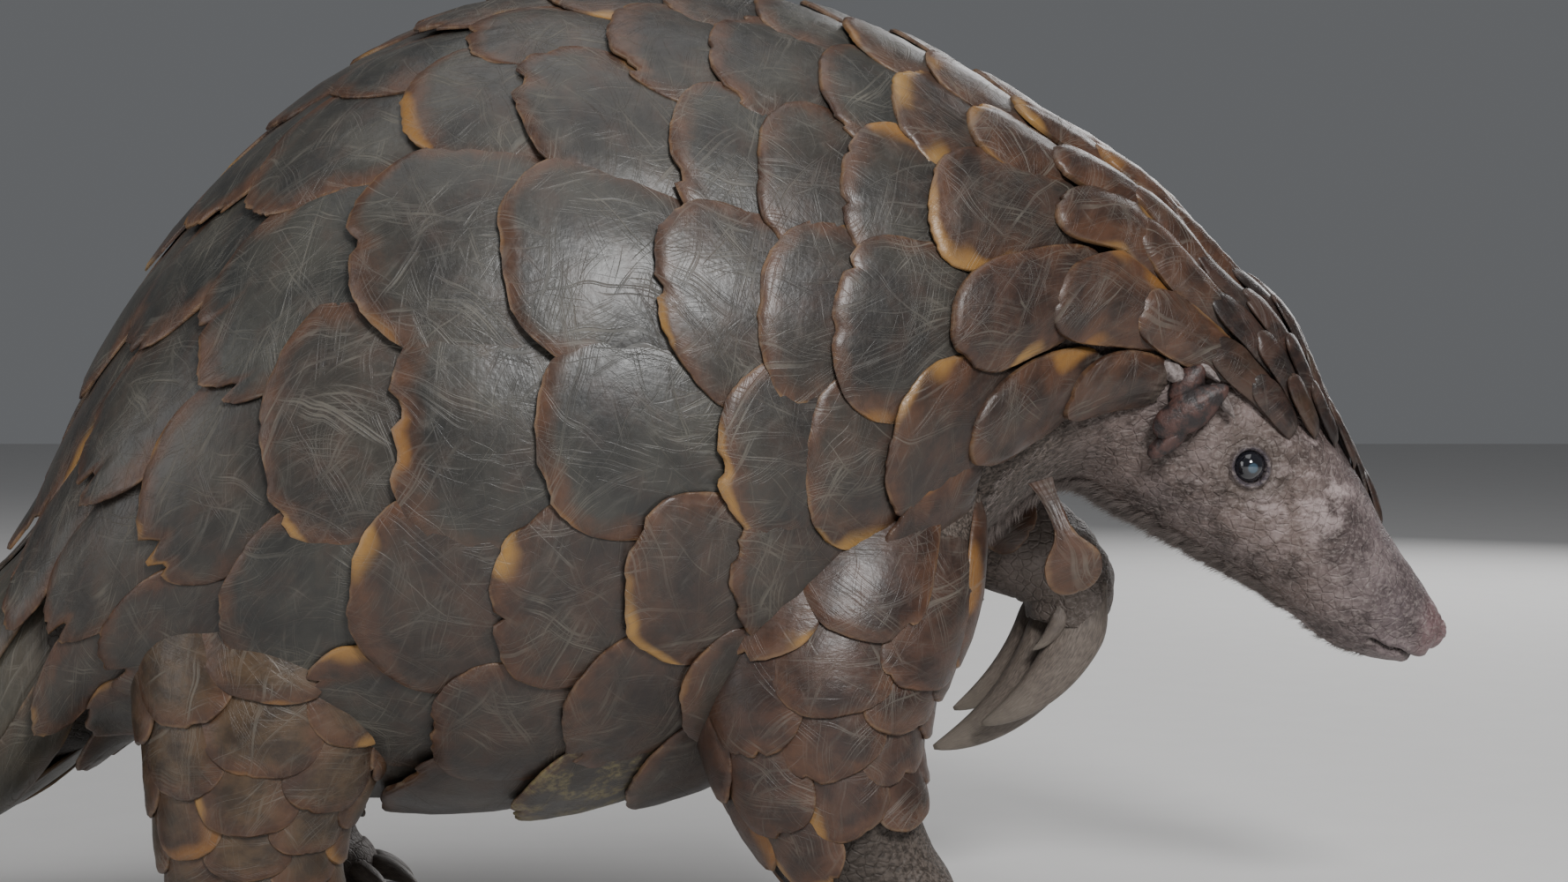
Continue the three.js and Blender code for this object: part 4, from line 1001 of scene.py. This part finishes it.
coats = {}
for size, edges in FREE_EDGES.items():
    for n, edge_at in enumerate(edges):
        ahead_gap = edge_at - edges[n - 1] if n else edges[1] - edges[0]
        after_gap = edges[n + 1] - edge_at if n + 1 < len(edges) else ahead_gap
        usual = np.interp(edge_at, *USUAL_UNIT)
        unit = float(np.clip(0.6 * ahead_gap + 0.4 * after_gap, 0.88 * usual, 1.15 * usual))
        for row in sorted({-size, size}):
            group, shape, blank = trunk_shape(edge_at, row)
            if n == 0:
                shape.update(front=-0.55, rounded=True)
            if size == 4:
                shape.update(over=0.5)
            if size == 8:
                shape.update(half=0.85, skew=0.3 if row > 0 else -0.3, over=0.8)
            if (row, edge_at) == DUSTY_SCALE:
                shape.update(dusty=1.0)
            coat = TRUNK_COAT * float(np.interp(edge_at - unit, *COAT))
            spot = trunk_spot(row, edge_at, unit)
            member = dict(spot=spot, coat=coat, shape=shape, blank=blank, column=row, line=n)
            coats.setdefault(group, []).append(member)
for group, members in coats.items():
    lay_group(group, members)


# Scales of the tail
# Ten rows of broad grey plates of horn all the way round, rooted as on the back. They get shorter towards
# the tip, where a last ring of small ones closes over the end.
TAIL_SHAPE = dict(half=0.66, narrow=0.62, reach=1.0, back=0.62, dome=0.9, thick=1.3, wear=1.2, region=3.0)
TAIL_ROWS = range(-4, 6)
TAIL_COAT, TIP_COAT, TIP_UNIT = 1.2, 2.0, 15.0
RING_SHIFT, RING_LENGTH, FIRST_RING_FROM = 0.375, 1.1, TAIL_FROM - 6
ring_distances = [CROWN_FRONT]
while ring_distances[-1] < trunk_length:
    ring_distances.append(ring_distances[-1] + np.interp(ring_distances[-1], *PITCH))


def ring_distance(ring):
    return np.interp(ring, np.arange(len(ring_distances)), ring_distances)


def tail_spot(row, distance_at):
    """As on the back. distance_at gives the distance from the nose, b lengths behind the scale's middle."""

    def spot(b, a, lift):
        distance = distance_at(b)
        return trunk_point(section_at(distance), (row + a) * np.interp(distance, *STEP), lift)

    return spot


tail_scales = []
for number in range(len(ring_distances)):
    for row in TAIL_ROWS:
        ring = number + (0.5 if row % 2 else 0) + RING_SHIFT
        distance = ring_distance(ring)
        if distance > FIRST_RING_FROM and ring_distance(ring + RING_LENGTH) < trunk_length - 1:
            tail_scales.append(dict(
                spot=tail_spot(row, lambda b, ring=ring: ring_distance(ring + b)),
                coat=TAIL_COAT * float(np.interp(distance, *COAT)), shape=TAIL_SHAPE, blank=large_blank,
                column=row, line=number))
for row in TAIL_ROWS:
    end_at = trunk_length - (0.5 if row % 2 else 8.0)
    tail_scales.append(dict(
        spot=tail_spot(row, lambda b, end_at=end_at: end_at + (b - EDGE_AT) * TIP_UNIT), coat=TIP_COAT,
        shape=TAIL_SHAPE, blank=small_blank, column=row, line=len(ring_distances)))
middle_line = (tail_scales[0]["line"] + tail_scales[-1]["line"]) // 2
lay_group("scales_tail_root", [member for member in tail_scales if member["line"] < middle_line])
lay_group("scales_tail_end", [member for member in tail_scales if member["line"] >= middle_line])


# Scales of the legs
# Plates of browner horn, smaller than those of the back, that hang down each leg and wrap round it. They
# are laid ring by ring, each ring over the roots of the next.
HIND_COAT = dict(rings=5, rows=4, first=0.75, pitch=0.8, step=42, turn=6, rise=3.8, region=1.7)
LEG_COATS = {
    "hind_right": HIND_COAT,
    "hind_left": HIND_COAT,
    "fore_right": dict(rings=4, rows=4, first=0.7, pitch=0.85, step=42, turn=8, rise=3.8, region=1.0),
    "fore_left": dict(rings=3, rows=3, first=0.3, pitch=0.72, step=42, turn=40, rise=2.8, region=1.0),
}
LEG_SHAPE = dict(half=0.68, narrow=0.6, reach=0.96, back=0.62, dome=1.4, thick=1.2, wear=0.8)
OFF_LEG = 0.8


def leg_spot(leg_name, ring, row):
    places, side = LEGS[leg_name]
    layout = LEG_COATS[leg_name]

    def spot(b, a, lift):
        along = layout["first"] + (ring + b) * layout["pitch"]
        return limb_point(places, side, along, layout["turn"] + (row + a) * layout["step"], lift + OFF_LEG)

    return spot


for leg_name, layout in LEG_COATS.items():
    lay_group("scales_leg_" + leg_name, [
        dict(spot=leg_spot(leg_name, number + (0.5 if row % 2 else 0), row), coat=layout["rise"],
             shape=dict(LEG_SHAPE, region=layout["region"]), blank=small_blank, column=row, line=number)
        for number in range(layout["rings"]) for row in range(-layout["rows"], layout["rows"] + 1)
    ])


# Hanging scales of the throat
# One loose scale on each side below the neck, which hangs from its root: a thin stem of horn that widens
# to a rounded paddle.
HANGING_TOP, HANGING_FOOT = (127.8, 50.5, 131.0), (136.8, 52.0, 101.0)
HANGING_SHAPE = dict(half=1.0, narrow=1.0, reach=0.98, back=0.42, dome=0.5, thick=1.3, wear=0.25, region=1.0)


def hanging_spot(side):
    top, foot = np.array(HANGING_TOP) * (1, side, 1), np.array(HANGING_FOOT) * (1, side, 1)
    down = foot - top
    across = np.cross(one_long(down), [0, side, 0])

    def spot(b, a, lift):
        t = (b - ROOT_AT) / (EDGE_AT - ROOT_AT)
        wide = 2.2 + 5.6 * ease(t, 0.42, 0.72) + 1.2 * (1 - ease(t, 0, 0.15))
        bow = 3.0 * np.sin(t * math.pi)
        points = top + down * t[..., None] + across * (a * wide - bow * 0.5)[..., None]
        return points + np.array([0, side, 0]) * (np.asarray(lift) + 1.5 * bow)[..., None]

    return spot


lay_group("hanging_scales", [
    dict(spot=hanging_spot(side), coat=0.3, shape=HANGING_SHAPE, blank=small_blank, column=side, line=0)
    for side in (-1, 1)
])
for blank in (large_blank, small_blank):
    bpy.data.objects.remove(blank["piece"])


# Ears
# A dark glossy lobe of bare skin lies over the opening of each ear, with a smaller one under it and a flap
# behind, among pale downy folds. Each part is a flattened ball, cupped and rippled.
ear_horn, start, feed = new_finish("ear_lobe", Coat_Weight=0.05, Coat_Roughness=0.3)
veins = start.spots(start.place(), 330, 4, 0.6)
feed(Base_Color=veins.ease(0.38, 0.62).tint((0.016, 0.011, 0.011), (0.065, 0.03, 0.024)),
     Roughness=0.42 + 0.2 * veins, Normal=start.relief(veins, 0.0009, 0.8))
ear_fold, start, feed = new_finish("ear_fold")
down_hair = start.spots(start.place(), 700, 4, 0.65)
feed(Base_Color=down_hair.ease(0.3, 0.7).tint((0.1, 0.078, 0.07), (0.28, 0.24, 0.23)),
     Roughness=0.75 - 0.1 * down_hair, Normal=start.relief(down_hair, 0.0006, 0.7))
EAR_PARTS = [  # name, middle, half sizes, slope, how it is cupped, finish
    ("lobe", (169.5, 37.6, 149.6), (11.8, 2.1, 5.2), 33, 1.6, ear_horn),
    ("under_lobe", (164.0, 36.0, 141.5), (7.4, 1.5, 2.8), 38, 1.0, ear_horn),
    ("back_flap", (169.0, 35.6, 156.8), (6.6, 2.0, 4.0), 52, 1.0, ear_horn),
    ("front_fold", (178.6, 33.6, 152.0), (5.6, 1.7, 1.5), -55, 1.0, ear_fold),
    ("upper_fold", (164.6, 36.0, 160.0), (5.2, 1.8, 2.6), -40, 1.2, ear_fold),
    ("rim_fold", (174.0, 34.6, 160.4), (5.0, 1.5, 1.3), -42, 0.8, ear_fold),
]
for word, side in (("right", -1), ("left", 1)):
    for part, middle, half_sizes, slope, cup, finish in EAR_PARTS:
        bpy.ops.object.select_all(action="DESELECT")
        on_side = (0, math.pi / 2, 0)
        bpy.ops.mesh.primitive_uv_sphere_add(segments=40, ring_count=24, radius=1, rotation=on_side)
        lobe = bpy.context.object
        bpy.ops.object.transform_apply(location=False, rotation=True, scale=False)
        ball = corners_of(lobe)
        ripple = 0.07 * np.sin(ball[:, 0] * 5 + 1) + 0.04 * np.sin(ball[:, 0] * 11 + ball[:, 2] * 3)
        spread = ball * half_sizes
        spread[:, 2] *= 1 + ripple - 0.2 * ball[:, 0]
        spread[:, 1] = spread[:, 1] - cup * (ball[:, 2] ** 2 + 0.6 * ball[:, 0] ** 2) + 0.4 * ripple
        lean = math.radians(slope)
        turned = np.stack([
            spread[:, 0] * math.cos(lean) - spread[:, 2] * math.sin(lean),
            spread[:, 1],
            spread[:, 0] * math.sin(lean) + spread[:, 2] * math.cos(lean),
        ], -1)
        move_corners(lobe, placed((turned + middle) * (1, side, 1)))
        if side < 0:
            lobe.data.flip_normals()
        lobe.name = f"ear_{part}_{word}"
        bpy.ops.object.shade_smooth()
        lobe.data.materials.append(finish)
        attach(lobe, "root")
        if part == "lobe":
            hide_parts("ear_" + word)


# Claws
# Curved claws of grey brown horn that grow from the toes, ribbed along their length and paler at the tip.
# The middle three of each forefoot are long and strong.
claw_horn, start, feed = new_finish("claw_horn", Coat_Weight=0.1, Coat_Roughness=0.35)
along_claw = start.node("ShaderNodeUVMap", uv_map="claw_length")
grain = start.spots(along_claw, 9, 4, 0.6, squeeze=(6, 0.8, 1))
blotch = start.spots(start.place(), 150, 4, 0.6)
tone = painted(
    grain.ease(0.3, 0.7).tint((0.082, 0.065, 0.053), (0.185, 0.15, 0.125)),
    (start.measure("tip") * 0.5, (0.26, 0.225, 0.18)),
    (blotch.ease(0.5, 0.75) * 0.4, (0.045, 0.034, 0.028)),
)
feed(Base_Color=tone, Roughness=0.36 + 0.2 * blotch, Normal=start.relief(grain + 0.3 * blotch, 0.0005, 0.6))
CLAW_RINGS, CLAW_COLUMNS = 36, 26


def add_claw(name, root, ahead, inward, length, depth, breadth, bend, node):
    """A claw that leaves its root ahead and bends inward, keeled above and flat beneath."""
    piece = add_grid(name, CLAW_RINGS, CLAW_COLUMNS)
    flat = corners_of(piece)
    ring = grid_line(flat[:, 0], CLAW_RINGS)
    share = np.clip((ring - 1) / (CLAW_RINGS - 2), 0, 1) * 0.985
    angle = flat[:, 1] * math.pi
    ahead = one_long(np.array(ahead, float))
    inward = np.array(inward, float)
    inward = one_long(inward - ahead * (inward @ ahead))
    turn = math.radians(bend) * share
    radius = length / math.radians(bend)
    spine = root + np.outer(radius * np.sin(turn), ahead) + np.outer(radius * (1 - np.cos(turn)), inward)
    towards = np.outer(np.cos(turn), inward) - np.outer(np.sin(turn), ahead)
    size = (1 - share ** 1.8) ** 0.75 * (0.62 + 0.38 * ease(share, 0, 0.3))
    c, s = np.cos(angle), np.sin(angle)
    keel = np.where(s < 0, 1.0 + 0.12 * np.abs(s) ** 6, 0.82)
    ridge = 1 + 0.025 * np.sin(angle * 9) * (1 - share)
    wide = breadth / 2 * size * np.sign(c) * np.abs(c) ** 0.85 * ridge
    tall = depth / 2 * size * s * keel * ridge
    points = spine + np.cross(ahead, inward) * wide[:, None] + towards * tall[:, None]
    closed = (ring == 0) | (ring == CLAW_RINGS)
    points[closed] = spine[closed]
    spots = placed(points)
    spots[:, 2] = np.maximum(spots[:, 2], 0)
    move_corners(piece, spots)
    add_measure(piece, "tip", ease(share, 0.55, 1))
    add_map(piece, "claw_length", np.stack([flat[:, 1], share * length / 20], -1)[face_corners(piece)])
    close_tube(piece)
    piece.data.materials.append(claw_horn)
    bpy.ops.object.shade_smooth()
    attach(piece, "root")
    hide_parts(node)


FORE_CLAWS = [  # number, distance across, length, depth, breadth, bend
    (1, -11.5, 17, 6, 5, 55), (2, -8, 48, 10.5, 7.5, 62), (3, 0, 62, 13, 8.6, 66),
    (4, 8, 46, 10.5, 7.5, 60), (5, 12.5, 16, 6, 5, 50),
]
FORE_FEET = [  # name, side, knuckles, the way the claws leave them and bend, whether the foot is raised
    ("right", -1, (100, 58, 10.4), (-0.88, 0, -0.47), (-0.47, 0, 0.88), False),
    ("left", 1, (146, 45, 90), (-0.1, 0, -1), (-1, 0, 0.1), True),
]
SHORT_CLAW, SPREAD = 20, 0.008
for word, side, knuckle, ahead, inward, raised in FORE_FEET:
    inward_way = one_long(np.array(inward, float))
    for number, out, length, depth, breadth, bend in FORE_CLAWS:
        ahead_way = one_long(np.array(ahead, float)) + np.array([0, side * out * SPREAD, 0])
        root = np.array([knuckle[0], side * (knuckle[1] + out), knuckle[2]])
        if length < SHORT_CLAW:
            root = root + inward_way * 4
        elif raised:
            root = root + inward_way * (out * 0.55 + 1) - ahead_way * 8
            depth, breadth, length = depth * 1.75, breadth * 1.25, length + 9
        add_claw(f"claw_fore_{word}_{number}", root, ahead_way, inward_way, length, depth, breadth, bend,
                 f"foreclaw_{word}_{number}")

HIND_CLAWS = [  # number, turn round the foot, length, depth, breadth, bend
    (1, -64, 15, 6.5, 7, 38), (2, -33, 19, 7.5, 8.5, 42), (3, -4, 20, 8, 9, 42), (4, 25, 19, 7.5, 8.5, 42),
    (5, 56, 15, 6.5, 7, 38),
]
HIND_CLAW_HEIGHT, IN_FOOT = 7.0, 5
for word, side in (("right", -1), ("left", 1)):
    x, out, _, foot_depth, foot_breadth = LEGS["hind_" + word][0][-2]
    for number, turn, length, depth, breadth, bend in HIND_CLAWS:
        reach = np.array([math.cos(math.radians(turn)), side * math.sin(math.radians(turn)), 0])
        root = np.array([x, side * out, HIND_CLAW_HEIGHT])
        root = root + reach * (foot_depth - IN_FOOT, foot_breadth - IN_FOOT, 0)
        add_claw(f"claw_hind_{word}_{number}", root, reach, (0, 0, -1), length, depth, breadth, bend,
                 f"hind_claw_{word}_{number}")


# Hair
# Short stiff hairs on the cheeks, the throat and the lower jaw, where they break the outline. They grow
# from the skin in small tufts that lean back. One tuft is made of five hairs and copied.
HAIRS_IN_TUFT, TUFTS, HAIR_SEED = 5, 5200, 5
HALF = TUFTS // 2  # the other half grows along the lower jaw and the throat
JAW_ANGLE, CLEAR_OF_EYE, CLEAR_OF_NOSE = 155, 0.0085, 16
bpy.ops.object.select_all(action="DESELECT")
bpy.ops.mesh.primitive_cone_add(vertices=3, radius1=0.02, radius2=0, depth=1, location=(0, 0, 0.5))
one_hair = bpy.context.object
bpy.ops.object.transform_apply(location=True, rotation=True, scale=True)
hair_corners = corners_of(one_hair)
hair_faces = [list(face.vertices) for face in one_hair.data.polygons]
bpy.data.objects.remove(one_hair)
tuft_corners, tuft_faces = [], []
dice = np.random.default_rng(HAIR_SEED)
for n in range(HAIRS_IN_TUFT):
    lean = dice.normal(0, 0.16, 2)
    hair = hair_corners * (1, 1, dice.uniform(0.6, 1))
    hair = hair + np.outer(hair[:, 2] ** 1.4, [*lean, 0]) + [*dice.normal(0, 0.07, 2), 0]
    tuft_faces += [[v + n * len(hair_corners) for v in face] for face in hair_faces]
    tuft_corners.append(hair)
tuft = np.concatenate(tuft_corners)
distances = np.concatenate([dice.uniform(14, 150, HALF), dice.uniform(40, 150, HALF)])
around = np.concatenate([dice.uniform(70, 180, HALF), dice.normal(166, 12, HALF)])
around = np.where(around > 180, 360 - around, around)
covered = np.interp(distances, (34, 80, 120, 150), (62, 74, 108, 120))
around = np.maximum(around, np.minimum(covered + dice.uniform(0, 20, TUFTS), 179))
sides = np.where(dice.random(TUFTS) < 0.5, -1, 1)
under, above = np.full(TUFTS, -0.3), np.full(TUFTS, 0.7)
roots = trunk_point(section_at(distances), around * sides, under)
out_way = trunk_point(section_at(distances), around * sides, above) - roots
back_way = one_long(trunk_point(section_at(distances + 1), around * sides, under) - roots)
flat_share = dice.uniform(0.55, 1.1, (TUFTS, 1))
stand = np.where(around > JAW_ANGLE, 0.85, 0.2)[:, None]
way = one_long(out_way * stand + back_way * flat_share + dice.normal(0, 0.1, (TUFTS, 3)))
from_eye = np.min([np.linalg.norm(placed(roots) - spot, axis=1) for spot in eye_spots], axis=0)
keep = (from_eye > CLEAR_OF_EYE) & (distances > CLEAR_OF_NOSE)
roots, way, out_way = roots[keep], way[keep], out_way[keep]
distances, around, sides = distances[keep], around[keep], sides[keep]
length = dice.uniform(1.6, 3.2, len(roots)) * np.interp(distances, (14, 60, 150), (0.55, 1, 1.25))
length *= np.where(around > JAW_ANGLE, 1.6, 1.0)
side_way = one_long(np.cross(way, out_way))
third_way = np.cross(side_way, way)
spots = roots[:, None] + length[:, None, None] * (
    tuft[None, :, 0, None] * side_way[:, None] + tuft[None, :, 1, None] * third_way[:, None]
    + tuft[None, :, 2, None] * way[:, None])
mesh = bpy.data.meshes.new("face_hair")
count = len(tuft)
faces = [[v + n * count for v in face] for n in range(len(roots)) for face in tuft_faces]
mesh.from_pydata(placed(spots.reshape(-1, 3)), [], faces)
face_hair = bpy.data.objects.new("face_hair", mesh)
bpy.context.collection.objects.link(face_hair)
add_measure(face_hair, "tone", np.repeat(dice.random(len(roots)), count))
add_measure(face_hair, "tip", np.tile(tuft[:, 2], len(roots)))
home = np.stack([0.5 + sides * around / 370, distances / 160], -1)
patch = np.repeat(home, count, axis=0) + np.tile(tuft[:, [0, 2]] * 0.003, (len(roots), 1))
add_map(face_hair, "OFBake", patch[face_corners(face_hair)])
hair_finish, start, feed = new_finish("short_hair", Roughness=0.6)
tone = start.measure("tone").tint((0.05, 0.036, 0.03), (0.19, 0.155, 0.14))
feed(Base_Color=(start.measure("tip").ease(0.3, 1) * 0.4).tint(tone, (0.29, 0.25, 0.23)))
mesh.materials.append(hair_finish)
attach(face_hair, "root")
